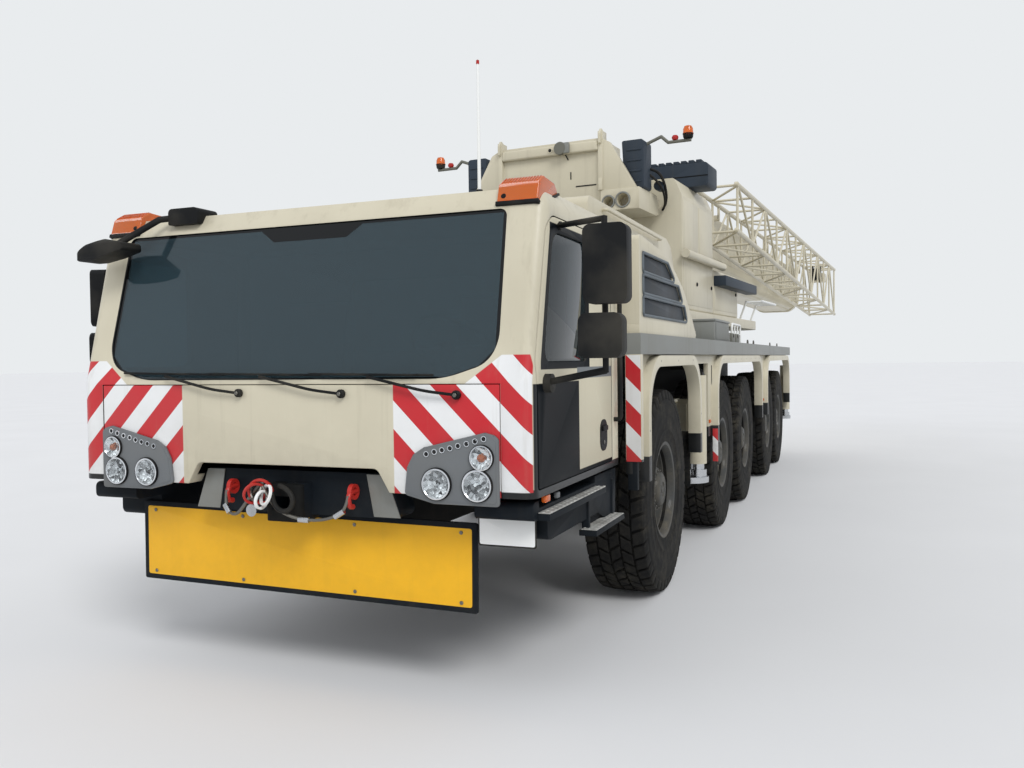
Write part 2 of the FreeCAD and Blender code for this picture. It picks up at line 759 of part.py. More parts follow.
def hood():
    """Hollow engine hood with a sloped rear end and a rounded top."""
    outline = [(hood_start, deck_top), (hood_end + 450, deck_top), (hood_end + 420, deck_top + 120),
               (hood_end, hood_top - 60), (hood_end - 200, hood_top), (hood_start, hood_top)]
    outer = rounded(outline, [0, 20, 60, 120, 120, 60], "x", -hood_half, hood_half)
    inner_outline = [(hood_start + hood_wall, deck_top - 10), (hood_end + 350, deck_top - 10),
                     (hood_end - 40, hood_top - 60 - hood_wall), (hood_end - 220, hood_top - hood_wall),
                     (hood_start + hood_wall, hood_top - hood_wall)]
    inner = rounded(inner_outline, [0, 0, 90, 90, 30], "x", -hood_half + hood_wall, hood_half - hood_wall)
    body = outer.cut(inner)
    for side in (-1, 1):
        for index in range(4):
            y0 = hood_start + 150 + index * 560
            x0, x1 = sorted((side * (hood_half - 12), side * (hood_half + 5)))
            body = body.cut(box(x0, x1, y0, y0 + 12, deck_top + 60, hood_top - 100))
    return body


def cowl():
    """Left side cowl: a curved top edge and three dark louvre recesses."""
    outline = [(cowl_front, 1920), (3480, 1880), (3300, 2020), (2950, 2230), (2400, 2420), (cowl_front, 2475)]
    outer = rounded(outline, [10, 10, 150, 400, 300, 40], "x", cowl_inner, overall_width / 2 - 10)
    foot = box(cowl_inner, overall_width / 2 - 10, cowl_front, 3440, deck_top, 1925)
    body = fuse([outer, foot])
    hollow_line = [(cowl_front + 30, deck_top - 10), (3250, deck_top - 10), (3150, 2010), (2850, 2190),
                   (2380, 2380),
                   (cowl_front + 30, 2440)]
    hollow = prism(hollow_line, "x", cowl_inner - 10, overall_width / 2 - 50)
    body = body.cut(hollow)
    for index, (end_low, end_high) in enumerate([(3060, 2960), (2900, 2740), (2640, 2380)]):
        low = 1985 + index * 135
        slot = rounded([(cowl_front + 90, low), (end_low, low), (end_high, low + 112),
                        (cowl_front + 90, low + 112)],
                       [20] * 4, "x", overall_width / 2 - 35, overall_width / 2 + 5)
        body = body.cut(slot)
    return body


def engine_housing():
    left = cowl()
    return Part.makeCompound([hood()] + both_sides(left))


def engine_block():
    return box(-frame_web_half, frame_web_half, hood_start + 330, hood_end - 650, deck_top + running_gap,
               hood_top - 150)


# Steps, tanks and boxes along the sides

apron_bottom = 955.0
skirt_front = 255.0
board_back = 249.7
plate_y = (196.0, 204.0)
step_start = 120.0
step_top = 985.0
stair_top = 775.0


def side_boxes():
    """Door steps under the cab, mud flaps, and tanks between the wheels and the frame."""
    back = cab_length
    skirt = rounded([(60, apron_bottom), (skirt_front, apron_bottom), (skirt_front, 830), (back - 380, 830),
                     (back - 20, 690), (back, 1045), (60, 1045)], [30, 10, 40, 20, 20, 10, 30],
                    "x", cab_side - 330, cab_side - 30)
    skirt = skirt.cut(box(cab_side - 230, cab_side, 140, back - 440, 1010, 1060))
    tread = box(cab_side - 60, cab_side + 30, step_start, back - 420, step_top - 30, step_top)
    stair = box(cab_side - 60, cab_side + 40, back - 650, back - 60, stair_top - 30, stair_top)
    hanger = [box(cab_side - 60, cab_side - 20, y, y + 30, stair_top - 30, step_top)
              for y in (back - 600, back - 110)]
    tie = box(frame_web_half, cab_side - 300, back - 400, back - 100, 900, 1040)
    steps = fuse([skirt, tread, stair, tie] + hanger)
    flap_outer = side_outer - side_thickness - running_gap
    flaps = [box(flap_outer - 220, flap_outer, end + 55, end + 67, 640, side_bottom + 100)
             for _, end in arch_spans[:2]]
    pieces = both_sides(steps)
    for flap in flaps:
        pieces += both_sides(flap)
    tanks = rounded([(470, 1040), (900, 1040), (900, 1480), (470, 1480)], [80] * 4, "y", slew_y - 240,
                    slew_y + 160)
    strap = box(frame_web_half, 480, slew_y - 200, slew_y + 120, 1200, 1300)
    pieces += both_sides(fuse([tanks, strap]))
    return Part.makeCompound(pieces)


def front_signs():
    """Blank warning board under the bumper and a blank number plate beside it."""
    board = box(-1067, 1067, board_back - 20, board_back, 455, 911)
    board.rotate(Vector(0, 240, 700), Vector(0, 1, 0), 0.55)
    board.translate(Vector(-87, 0, 0))
    plate = box(1003, 1308, *plate_y, 800, 952)
    bracket = box(1100, 1200, plate_y[1], skirt_front - running_gap, 860, 900)
    return Part.makeCompound([board, fuse([plate, bracket])])


mirror_face = -55.0
mirror_depth = 160.0


def front_mirror():
    """Kerb-view mirror that hangs ahead of the right corner, on an arm from a box on the roof's front edge."""
    corner = -cab_side
    outline = [(corner + 24, 2330), (corner + 46, 2297), (corner + 121, 2297), (corner + 248, 2318),
               (corner + 372, 2350), (corner + 359, 2391), (corner + 229, 2416), (corner + 115, 2385)]
    shell = rounded(outline, [12, 15, 40, 60, 18, 18, 50, 40], "y", mirror_face, mirror_face + mirror_depth)
    side = rounded([(mirror_face, 2290), (mirror_face + mirror_depth, 2290), (mirror_face + mirror_depth, 2420),
                    (mirror_face, 2420)], [50, 15, 40, 55], "x", corner, corner + 400)
    plan = rounded([(corner + 20, mirror_face), (corner + 376, mirror_face),
                    (corner + 376, mirror_face + mirror_depth), (corner + 20, mirror_face + mirror_depth)],
                   [60, 45, 15, 30], "z", 2280, 2430)
    head = shell.common(side).common(plan)
    route = [(corner + 500.0, 240.0, 2550.0), (corner + 445.0, 165.0, 2532.0), (corner + 270.0, 30.0, 2390.0)]
    tube = [rod(start, end, 18.0) for start, end in zip(route, route[1:])]
    knee = Part.makeSphere(18.0, Vector(*route[1]))
    foot = rounded([(corner + 485, 2500), (corner + 690, 2500), (corner + 690, 2592), (corner + 485, 2592)],
                   [10, 10, 25, 25], "y", 190.0, 360.0)
    return fuse([head, foot, knee] + tube).cut(cab_body(-running_gap))


# Superstructure, in its own frame: origin on the slewing axis at ground height, boom along +Y

drum_y = -1300.0
drum_z = 2560.0
drum_radius = 190.0
drum_flange = 275.0
drum_shaft = 55.0


def platform():
    ring = cylinder_z(ring_top + running_gap, platform_bottom, 0, 0, ring_radius - 40)
    slab = rounded([(-platform_half, -2900), (platform_half, -2900), (platform_half, 1250),
                    (-platform_half, 1250)],
                   [120, 120, 300, 300], "z", platform_bottom, platform_bottom + platform_thickness)
    top = platform_bottom + platform_thickness
    line = [(-2900, top - 20), (1200, top - 20), (1200, 2380), (520, 2620), (-700, 2900), (-1650, 3500),
            (-1950, 3760),
            (-2500, 3800), (-2900, 3640)]
    cheeks = []
    for side in (-1, 1):
        low, high = sorted((side * cheek_inner, side * (cheek_inner + cheek_thickness)))
        cheeks.append(rounded(line, [0, 0, 60, 200, 300, 200, 160, 160, 60], "x", low, high))
    back = box(-cheek_inner - 10, cheek_inner + 10, -2900, -2860, top - 10, 3200)
    pin_half = cheek_inner + cheek_thickness + 15.0
    pin = cylinder_x(-pin_half, pin_half, pivot_y, pivot_z, pivot_radius)
    foot_y, foot_z = cylinder_foot
    feet = []
    for side in (-1, 1):
        low, high = sorted((side * 130.3, side * 190))
        feet.append(rounded([(foot_y - 200, top - 10), (foot_y + 200, top - 10), (foot_y + 110, foot_z + 110),
                             (foot_y - 110, foot_z + 110)], [0, 0, 90, 90], "x", low, high))
    foot_pin = cylinder_x(-200, 200, foot_y, foot_z, foot_pin_radius)
    body = fuse([ring, slab, back, pin, foot_pin] + cheeks + feet)
    shaft_hole = cylinder_x(-cheek_inner - 80, cheek_inner + 80, drum_y, drum_z, drum_shaft + running_gap)
    return body.cut(shaft_hole)


def winch_drum():
    half = cheek_inner - 8.0
    barrel = cylinder_x(-half, half, drum_y, drum_z, drum_radius)
    rims = [cylinder_x(*sorted((side * (half - 30), side * half)), drum_y, drum_z, drum_flange)
            for side in (-1, 1)]
    shaft = cylinder_x(-cheek_inner - 45, cheek_inner + 45, drum_y, drum_z, drum_shaft)
    return fuse([barrel, shaft] + rims)


ballast_bores = [(640.0, 52.0, 84.0), (790.0, 62.0, 96.0)]
ballast_bore_depth = 160.0
tail_foot_height = 210.0
tail_foot_half = 960.0


def tail_wing():
    """Left end of the foot plate with its two round holes for the ballast pins: x, radius and height of each."""
    wing = box(tail_post_x + running_gap, tail_foot_half, tail_back, tail_front - 10 - running_gap,
               tail_bottom, tail_bottom + tail_foot_height)
    for x, radius, up in ballast_bores:
        wing = wing.cut(cylinder_y(tail_back - 5, tail_back + ballast_bore_depth, x, tail_bottom + up, radius))
    return wing


def tail_unit():
    """Tail of the superstructure: bare cream panel, posts, gussets and the foot plate's two ends."""
    panel = box(-tail_post_x, tail_post_x, tail_back + 40, tail_front, tail_bottom, tail_top)
    foot_top = tail_bottom + tail_foot_height + running_gap
    posts = [box(side * tail_post_x - 25, side * tail_post_x + 25, tail_back, tail_back + 120, foot_top,
                 tail_top + 60)
             for side in (-1, 1)]
    gusset = [rounded([(side * 580, foot_top), (side * 930, foot_top), (side * 660, tail_top - 60),
                       (side * 580, tail_top - 20)], [0, 10, 30, 10], "y", tail_back + 10, tail_back + 60)
              for side in (-1, 1)]
    neck = box(-platform_half + 250, platform_half - 250, tail_front - 10, -2900, tail_bottom + 20,
               tail_bottom + 180)
    return Part.makeCompound([fuse([panel, neck] + posts + gusset)] + both_sides(tail_wing()))


lamp_arm = [(980.0, 3850.0), (1130.0, 3905.0), (1200.0, 3840.0), (1430.0, 3840.0)]
lamp_spots = {"amber": 1400.0, "red": 1270.0}


def upper_housings():
    """Dark guards beside the tail with their bent lamp arms, side cabinets and the dark top tray."""
    pieces = []
    for side in (-1, 1):
        seat = tail_bottom + tail_foot_height + running_gap
        guard = rounded([(side * 785, seat), (side * 985, seat), (side * 985, 3880), (side * 760, 3880)],
                        [20, 30, 30, 20], "y", tail_back + 80, tail_back + 330)
        y = tail_back + 200
        bars = [rod((side * a[0], y, a[1]), (side * b[0], y, b[1]), 16.0)
                for a, b in zip(lamp_arm, lamp_arm[1:])]
        knees = [Part.makeSphere(16.0, Vector(side * b[0], y, b[1])) for b in lamp_arm[1:-1]]
        pieces.append(fuse([guard] + bars + knees))
    cabinet = rounded([(570, 2220), (1180, 2220), (1180, 3420), (1100, 3600), (570, 3600)], [0, 30, 60, 40, 20],
                      "y", -2840.0, -1500.0)
    step = rounded([(570, 2220), (1180, 2220), (1180, 2760), (570, 2760)], [0, 30, 40, 20], "y", -1480.0,
                   -150.0)
    tray = rounded([(575, 3595), (1330, 3595), (1330, 3850), (575, 3850)], [20, 40, 40, 20], "y", -2300.0,
                   -1900.0)
    left_box = rounded([(-1180, 2220), (-570, 2220), (-570, 3150), (-1180, 3150)], [30, 0, 20, 40],
                       "y", -2840.0, -1050.0)
    return Part.makeCompound(pieces + [fuse([cabinet, tray]), step, left_box])


def tail_lamps():
    """Amber beacons at the ends of the bent arms, and small red marker lamps."""
    pieces = []
    y = tail_back + 200
    for side in (-1, 1):
        seat = lamp_arm[-1][1] + 16.0 + running_gap
        base = cylinder_z(seat, seat + 40, side * lamp_spots["amber"], y, 40.0)
        dome = cylinder_z(seat + 40, seat + 130, side * lamp_spots["amber"], y, 55.0)
        red = cylinder_z(seat, seat + 50, side * lamp_spots["red"], y, 34.0)
        pieces += [fuse([base, dome]), red]
    return Part.makeCompound(pieces)


# Operator's cab on the superstructure

op_x = (-1330.0, -620.0)
op_y = (-900.0, 1050.0)
op_z = (2220.0, 3780.0)
op_wall = 35.0


def operator_body(inset):
    y0, y1 = op_y
    z0, z1 = op_z
    line = [(y0 + inset, z0 + inset), (y1 - 250 - inset, z0 + inset), (y1 - inset, z0 + 380),
            (y1 - 130 - inset, z1 - inset), (y0 + inset, z1 - inset)]
    return rounded(line, [40, 60, 120, 160, 80], "x", op_x[0] + inset, op_x[1] - inset)


def operator_openings(inset):
    y0, y1 = op_y
    z0, z1 = op_z
    front = box(op_x[0] + 90 + inset, op_x[1] - 90 - inset, y1 - 330, y1 + 60, z0 + 430 + inset,
                z1 - 190 - inset)
    roof = box(op_x[0] + 110 + inset, op_x[1] - 110 - inset, y1 - 900 + inset, y1 - 340 - inset, z1 - 80,
               z1 + 30)
    side = box(op_x[1] - 120, op_x[1] + 30, y1 - 900 + inset, y1 - 300 - inset, z0 + 650 + inset,
               z1 - 200 - inset)
    return [front, roof, side]


op_door_y = (-150.0, 720.0)
op_door_z = (2290.0, 3660.0)
op_door_gap = 6.0
op_door_thickness = 35.0
op_door_stroke = 700.0
rail_out = 20.0
rail_away = 20.0
rail_half = 12.0
shoe_width = 120.0


def operator_cab():
    body = operator_body(0.0).cut(operator_body(op_wall))
    for opening in operator_openings(0.0):
        body = body.cut(opening)
    y0, y1 = op_door_y
    z0, z1 = op_door_z
    body = body.cut(box(op_x[0] - 30, op_x[0] + 100, y0 + 40, y1 - 40, z0 + 40, z1 - 40))
    seat_base = box(-1120, -830, -350, -50, op_z[0] + op_wall, op_z[0] + 420)
    cushion = box(-1200, -750, -420, 60, op_z[0] + 420, op_z[0] + 540)
    rest = box(-1190, -760, -500, -400, op_z[0] + 500, op_z[0] + 1150)
    seat = fuse([seat_base, cushion, rest])
    rails = [box(op_x[0] - rail_out, op_x[0] + 5, y0 - op_door_stroke, y1, z - rail_half, z + rail_half)
             for z in (z0 - rail_away, z1 + rail_away)]
    body = fuse([body] + rails)
    layer = operator_body(8.0).cut(operator_body(16.0))
    panes = [layer.common(opening) for opening in operator_openings(glass_gap)]
    return Part.makeCompound([body, seat] + panes)


def operator_door():
    """Sliding door with its pane, hung by two shoes on the upper rail."""
    y0, y1 = op_door_y
    z0, z1 = op_door_z
    x1 = op_x[0] - op_door_gap
    panel = rounded([(y0, z0), (y1, z0), (y1, z1), (y0, z1)], [60] * 4, "x", x1 - op_door_thickness, x1)
    opening = rounded([(y0 + 90, z0 + 500), (y1 - 90, z0 + 500), (y1 - 90, z1 - 90), (y0 + 90, z1 - 90)],
                      [50] * 4,
                      "x", x1 - 60, x1 + 30)
    near = 90 + glass_gap
    pane = rounded([(y0 + near, z0 + 410 + near), (y1 - near, z0 + 410 + near), (y1 - near, z1 - near),
                    (y0 + near, z1 - near)], [50 - glass_gap] * 4, "x", x1 - 22, x1 - 14)
    rail_top = z1 + rail_away + rail_half
    outer = x1 - op_door_thickness
    shoes = []
    for y in (y0 + 60, y1 - 60 - shoe_width):
        shoes.append(box(outer, op_x[0] - rail_out - running_gap, y, y + shoe_width, z1 - 60, rail_top + 15))
        shoes.append(box(outer, op_x[0] - rail_out / 2, y, y + shoe_width, rail_top + running_gap,
                         rail_top + 15))
    return Part.makeCompound([fuse([panel.cut(opening)] + shoes), pane])


# Boom, drawn level in the superstructure's frame

boom_mid_z = pivot_z + boom_centre_drop + 70.0


def boom_section(width, height, y0, y1):
    """Solid of a boom cross-section: rounded above, almost half round below."""
    w = width / 2
    z0 = boom_mid_z - height / 2
    z1 = boom_mid_z + height / 2
    low = min(boom_corner_bottom, w - 20.0)
    return rounded([(-w, z0), (w, z0), (w, z1), (-w, z1)], [low, low, boom_corner_top, boom_corner_top], "y",
                   y0, y1)


def boom_tube(index):
    """One hollow section with its front collar and, if it slides, its rear pads."""
    width, height = boom_sections[index]
    back = boom_back_y + index * 60.0
    front = boom_front_y + index * boom_step
    outer = boom_section(width, height, back, front)
    inner = boom_section(width - 2 * boom_wall, height - 2 * boom_wall, back + 40.0, front + 10.0)
    tube = outer.cut(inner)
    pieces = [tube]
    if index + 1 < len(boom_sections):
        next_width, next_height = boom_sections[index + 1]
        ring = boom_section(width + 40, height + 40, front - collar_length, front)
        hole = boom_section(next_width + slide_gap, next_height + slide_gap, front - collar_length - 5,
                            front + 5)
        pieces.append(ring.cut(hole))
    if index > 0:
        last_width, last_height = boom_sections[index - 1]
        pad = boom_section(last_width - 2 * boom_wall - slide_gap, last_height - 2 * boom_wall - slide_gap,
                           back, back + pad_length)
        hollow = boom_section(width - 2 * boom_wall, height - 2 * boom_wall, back + 40, back + pad_length + 5)
        pieces.append(pad.cut(hollow))
    return fuse(pieces)


def boom_base():
    """Base section with the two foot plates to its pivot, the cylinder's cradle and the jib brackets."""
    tube = boom_tube(0)
    width, height = boom_sections[0]
    half = width / 2
    z0 = boom_mid_z - height / 2
    z1 = boom_mid_z + height / 2
    plates = []
    for side in (-1, 1):
        low, high = sorted((side * (half - 5), side * (half + 38)))
        line = [(boom_back_y + 500, z0 + 220), (boom_back_y + 500, z1 - 60), (boom_back_y, z1 - 60),
                (pivot_y, pivot_z + 210), (pivot_y - 210, pivot_z), (pivot_y, pivot_z - 210),
                (boom_back_y, z0 + 220)]
        plates.append(rounded(line, [0, 0, 60, 120, 150, 120, 60], "x", low, high))
    head_y, head_z = cylinder_head
    cradle_z = head_z + head_pin_radius * math.sin(math.radians(cradle_open_deg))
    lugs = []
    for side in (-1, 1):
        low, high = sorted((side * lug_inner, side * (lug_inner + lug_thickness)))
        line = [(head_y - lug_top_half, z0 + 40), (head_y - lug_foot_half, cradle_z),
                (head_y + lug_foot_half, cradle_z), (head_y + lug_top_half, z0 + 40)]
        lugs.append(rounded(line, [0, 20, 20, 0], "x", low, high))
    jib_hooks = []
    for y in jib_hook_places:
        low = jib_top_z - jib_hook_drop
        jib_hooks.append(box(half - 5, jib_x[0] - jib_chord / 2 - 1, y, y + 60, low, low + 80))
    body = fuse([tube] + plates + lugs + jib_hooks)
    body = body.cut(cylinder_x(-half - 60, half + 60, pivot_y, pivot_z, pivot_radius + running_gap))
    cradle_half = lug_inner + lug_thickness + 5.0
    return body.cut(cylinder_x(-cradle_half, cradle_half, head_y, head_z, head_pin_radius + running_gap))


head_sheave_radius = 210.0
head_reach = 620.0
head_back = 155.0
head_bore_radius = 32.0
head_cheek_out = 3.0


def head_bore_place():
    """Middle of the cross bore in the boom head's cheeks, where a jib is pinned on."""
    index = len(boom_sections) - 1
    front = boom_front_y + index * boom_step
    return front + head_reach - 90.0, boom_mid_z - boom_sections[index][1] / 2 + 270.0


def boom_top():
    """Last section with the boom head: cheek plates, upper and lower sheaves on their pins."""
    index = len(boom_sections) - 1
    tube = boom_tube(index)
    width, height = boom_sections[index]
    front = boom_front_y + index * boom_step
    z0 = boom_mid_z - height / 2
    z1 = boom_mid_z + height / 2
    half = width / 2
    cap = boom_section(width + 30, height + 30, front - 60, front)
    back = front - head_back
    line = [(back, z0 + 20), (front + 120, z0 - 60), (front + head_reach, z0 + 80),
            (front + head_reach, z0 + 330),
            (front + 250, z1 + 40), (back, z1)]
    plates = [rounded(line, [0, 120, 160, 120, 120, 0], "x",
                      *sorted((side * (half - 22), side * (half + head_cheek_out))))
              for side in (-1, 1)]
    pieces = [tube, cap] + plates
    spots = [(front + 330, z0 + 150, head_sheave_radius, (-200, -70, 70, 200)),
             (front + 60, z1 - 20, 150.0, (-60, 60))]
    for y, z, radius, places in spots:
        pieces.append(cylinder_x(-half - 2, half + 2, y, z, 40.0))
        for x in places:
            pieces.append(cylinder_x(x - 28, x + 28, y, z, radius))
    head_pin_y, head_pin_z = head_bore_place()
    mast = [box(side * 70 - 12, side * 70 + 12, back, front + 220, z1 - 20, z1 + 130) for side in (-1, 1)]
    pieces += mast
    return fuse(pieces).cut(cylinder_x(-half - 20, half + 20, head_pin_y, head_pin_z, head_bore_radius))


def cylinder_line():
    """Foot point, head point as the boom lies at rest, and the way from one to the other."""
    foot = Vector(0, *cylinder_foot)
    head = luff_place.multVec(Vector(0, *cylinder_head))
    return foot, head, (head - foot).normalize()


def luff_barrel():
    foot, head, way = cylinder_line()
    tube = Part.makeCylinder(barrel_radius, barrel_length - 160, foot + way * 160, way)
    bore = Part.makeCylinder(rod_radius + running_gap, barrel_length, foot + way * 320, way)
    gland = Part.makeCylinder(barrel_radius + 15, 140, foot + way * (barrel_length - 140), way)
    eye = cylinder_x(-130, 130, foot.y, foot.z, 150.0)
    neck = Part.makeCylinder(110.0, 200.0, foot, way)
    body = fuse([tube, gland, eye, neck]).cut(bore)
    return body.cut(cylinder_x(-140, 140, foot.y, foot.z, foot_pin_radius + running_gap))


def luff_rod():
    """Piston rod; its head carries the pin that lies in the boom's open cradle."""
    foot, head, way = cylinder_line()
    shaft = Part.makeCylinder(rod_radius, (head - foot).Length - 420.0, head, way * -1)
    boss = cylinder_x(-lug_inner + 5.0, lug_inner - 5.0, head.y, head.z, 120.0)
    pin_half = lug_inner + lug_thickness + 5.0
    pin = cylinder_x(-pin_half, pin_half, head.y, head.z, head_pin_radius)
    return fuse([shaft, boss, pin])


def bar(start, end, width, normal, trim=0.0):
    """Square lattice bar between two points, one face square to the given normal, each end cut back."""
    run = (Vector(*end) - Vector(*start)).normalize()
    first = Vector(*start) + run * trim
    last = Vector(*end) - run * trim
    across = run.cross(Vector(*normal)).normalize() * (width / 2)
    out = across.cross(run).normalize() * (width / 2)
    corners = [first + across + out, first - across + out, first - across - out, first + across - out]
    face = Part.Face(Part.makePolygon(corners + [corners[0]]))
    return face.extrude(last - first)


def jib():
    """Tapered lattice jib: four chords, posts and braces on all four sides, hooked to the boom's brackets."""
    x0, x1 = jib_x
    length = jib_far_y - jib_near_y
    lean = (jib_far_bottom - jib_near_bottom) / length

    def bottom(y):
        return jib_near_bottom + (y - jib_near_y) * lean

    def top(y):
        return jib_top_z

    level_way = (0, 0, 1)
    side_way = (1, 0, 0)
    y0 = jib_near_y - jib_overhang
    y1 = jib_far_y + jib_overhang
    pieces = [bar((x, y0, level(y0)), (x, y1, level(y1)), jib_chord, side_way) for x in (x0, x1)
              for level in (top, bottom)]
    places = [jib_near_y + length * index / jib_bays for index in range(jib_bays + 1)]
    for y in places:
        for x in (x0, x1):
            pieces.append(bar((x, y, bottom(y)), (x, y, top(y)), jib_brace, side_way, jib_trim))
        for level in (top, bottom):
            pieces.append(bar((x0, y, level(y)), (x1, y, level(y)), jib_brace, level_way, jib_trim))
    for index, (y, after) in enumerate(zip(places, places[1:])):
        first, last = (bottom, top) if index % 2 else (top, bottom)
        start = y + jib_step
        end = after - jib_step
        for x in (x0, x1):
            pieces.append(bar((x, start, first(start)), (x, end, last(end)), jib_brace, side_way, jib_trim))
        left, right = (x0, x1) if index % 2 else (x1, x0)
        start += jib_step
        end -= jib_step
        for level in (top, bottom):
            pieces.append(bar((left, start, level(start)), (right, end, level(end)), jib_brace, level_way,
                              jib_trim))
    half = jib_chord / 2
    for y in jib_hook_places:
        low = jib_top_z - jib_hook_drop
        pieces.append(box(x0 - half - 1, x0 + 10, y, y + 60, low, low + 80))
        pieces.append(box(x0 - 14, x0 + 14, y, y + 60, low, jib_top_z))
    return pieces[0].multiFuse(pieces[1:])


# Assembly

slew_place = Placement(Vector(0, slew_y, 0), Rotation(Vector(0, 0, 1), slew_rest_deg))
pivot_point = Vector(0, pivot_y, pivot_z)
luff_place = Placement(Vector(0, 0, 0), Rotation(Vector(1, 0, 0), luff_rest_deg), pivot_point)
boom_place = slew_place.multiply(luff_place)


def placed(shape, place):
    copy = shape.copy()
    copy.Placement = place.multiply(copy.Placement)
    return copy


def build():
    nodes = {}
    shell, glass, panel, left_door, right_door = doors()
    nodes["cab_shell"] = shell
    nodes["cab_glass"] = glass
    nodes["cab_front_panel"] = panel
    nodes["cab_door_left"] = left_door
    nodes["cab_door_right"] = right_door
    nodes["cab_interior"] = cab_interior()
    nodes["lamps"] = lamps()
    nodes["chassis_frame"] = chassis()
    nodes["deck"] = deck()
    nodes["fenders"] = fenders()
    nodes["side_boxes"] = side_boxes()
    nodes["engine_housing"] = engine_housing()
    nodes["engine_block"] = engine_block()
    nodes["front_signs"] = front_signs()
    nodes["front_mirror"] = front_mirror()
    nodes["axle_beams"] = Part.makeCompound([axle_beam(y) for y in axle_places])
    for number, y in enumerate(axle_places, 1):
        for name, side in (("left", 1), ("right", -1)):
            nodes[f"knuckle_{number}_{name}"] = knuckle(y, side)
            nodes[f"wheel_{number}_{name}"] = wheel(y, side)
    for end, place in zip(("front", "rear"), outrigger_places):
        for name, side in (("left", 1), ("right", -1)):
            nodes[f"outrigger_{end}_{name}"] = outrigger_beam(place, side)
            nodes[f"jack_{end}_{name}"] = jack_foot(place, side)
    upper = {
        "platform": platform(),
        "winch_drum": winch_drum(),
        "tail_unit": tail_unit(),
        "upper_housings": upper_housings(),
        "tail_lamps": tail_lamps(),
        "operator_cab": operator_cab(),
        "operator_door": operator_door(),
        "luff_barrel": luff_barrel(),
        "luff_rod": luff_rod(),
    }
    for name, shape in upper.items():
        nodes[name] = placed(shape, slew_place)
    arm = {
        "boom_base": boom_base(),
        "boom_second": boom_tube(1),
        "boom_third": boom_tube(2),
        "boom_top": boom_top(),
        "jib": jib(),
    }
    for name, shape in arm.items():
        nodes[name] = placed(shape, boom_place)
    return nodes


def whole_box(shapes):
    total = FreeCAD.BoundBox()
    for shape in shapes:
        total.add(shape.optimalBoundingBox(False, False))
    return total


nodes = build()
outline_box = whole_box(nodes.values())
origin_shift = Vector(-outline_box.Center.x, -outline_box.Center.y, -outline_box.ZMin)

os.makedirs("parts", exist_ok=True)
for name, shape in nodes.items():
    moved = shape.copy()
    moved.translate(origin_shift)
    moved.exportStep(f"parts/{name}.step")
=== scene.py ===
"""Looks of a five-axle mobile crane: paint, glass, tyres, lamps and the fittings on its carrier and upper."""
import math
from functools import partial

import bpy
from mathutils import Matrix, Vector


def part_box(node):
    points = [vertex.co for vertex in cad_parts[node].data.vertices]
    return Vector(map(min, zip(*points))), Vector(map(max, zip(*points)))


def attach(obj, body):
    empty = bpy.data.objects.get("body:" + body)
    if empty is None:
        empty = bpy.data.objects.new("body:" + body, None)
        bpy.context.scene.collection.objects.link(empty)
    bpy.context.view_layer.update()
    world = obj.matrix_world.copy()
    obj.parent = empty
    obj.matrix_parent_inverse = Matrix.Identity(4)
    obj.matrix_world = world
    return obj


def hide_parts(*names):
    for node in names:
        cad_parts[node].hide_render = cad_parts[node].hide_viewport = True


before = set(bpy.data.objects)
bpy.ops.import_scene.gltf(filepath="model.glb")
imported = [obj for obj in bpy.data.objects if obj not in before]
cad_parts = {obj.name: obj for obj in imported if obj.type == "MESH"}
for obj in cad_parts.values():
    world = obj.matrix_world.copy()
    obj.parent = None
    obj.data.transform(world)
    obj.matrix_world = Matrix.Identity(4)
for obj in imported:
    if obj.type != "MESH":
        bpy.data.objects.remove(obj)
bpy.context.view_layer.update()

# Drawing frames, in metres: the carrier's front panel at y = 0, its rear towards +Y, its left side towards +X

axles = (2.7, 5.44, 7.19, 9.66, 11.28)
sides = (("left", 1), ("right", -1))
wheel_left_low, wheel_left_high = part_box("wheel_1_left")
wheel_right_low, wheel_right_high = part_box("wheel_1_right")
carrier_shift = Vector((
    (wheel_left_high.x + wheel_right_low.x) / 2,
    (wheel_left_low.y + wheel_left_high.y) / 2 - axles[0],
    0,
))
carrier_frame = Matrix.Translation(carrier_shift)
upper_frame = carrier_frame @ Matrix.Translation((0, 8.5, 0)) @ Matrix.Rotation(math.radians(-4.2), 4, "Z")
boom_pivot = Matrix.Translation((0, -2.25, 3.42))
boom_frame = upper_frame @ boom_pivot @ Matrix.Rotation(math.radians(-1), 4, "X") @ boom_pivot.inverted()
mirror = Matrix.Scale(-1, 4, (1, 0, 0))
x_way, y_way, z_way, front_way = (1, 0, 0), (0, 1, 0), (0, 0, 1), (0, -1, 0)


# Shapes: each function takes the finish first and gives a list of pieces

def select_only(pieces):
    bpy.ops.object.select_all(action="DESELECT")
    for piece in pieces:
        piece.select_set(True)
    bpy.context.view_layer.objects.active = pieces[0]


def apply_place(piece):
    select_only([piece])
    bpy.ops.object.transform_apply(location=True, rotation=True, scale=True)
    return piece


def edit_all(piece):
    select_only([piece])
    bpy.ops.object.mode_set(mode="EDIT")
    bpy.ops.mesh.select_all(action="SELECT")


def finished(piece, material):
    """The piece out of edit mode, with its finish."""
    bpy.ops.object.mode_set(mode="OBJECT")
    piece.data.materials.append(material)
    return [piece]


def block(material, low, high, bevel=0, segments=2):
    """A box between two corners with its edges rounded."""
    low, high = Vector(low), Vector(high)
    bpy.ops.mesh.primitive_cube_add(size=1, location=(low + high) / 2, scale=high - low)
    piece = apply_place(bpy.context.object)
    if bevel:
        edit_all(piece)
        bpy.ops.mesh.bevel(offset=bevel, segments=segments, affect="EDGES")
    return finished(piece, material)


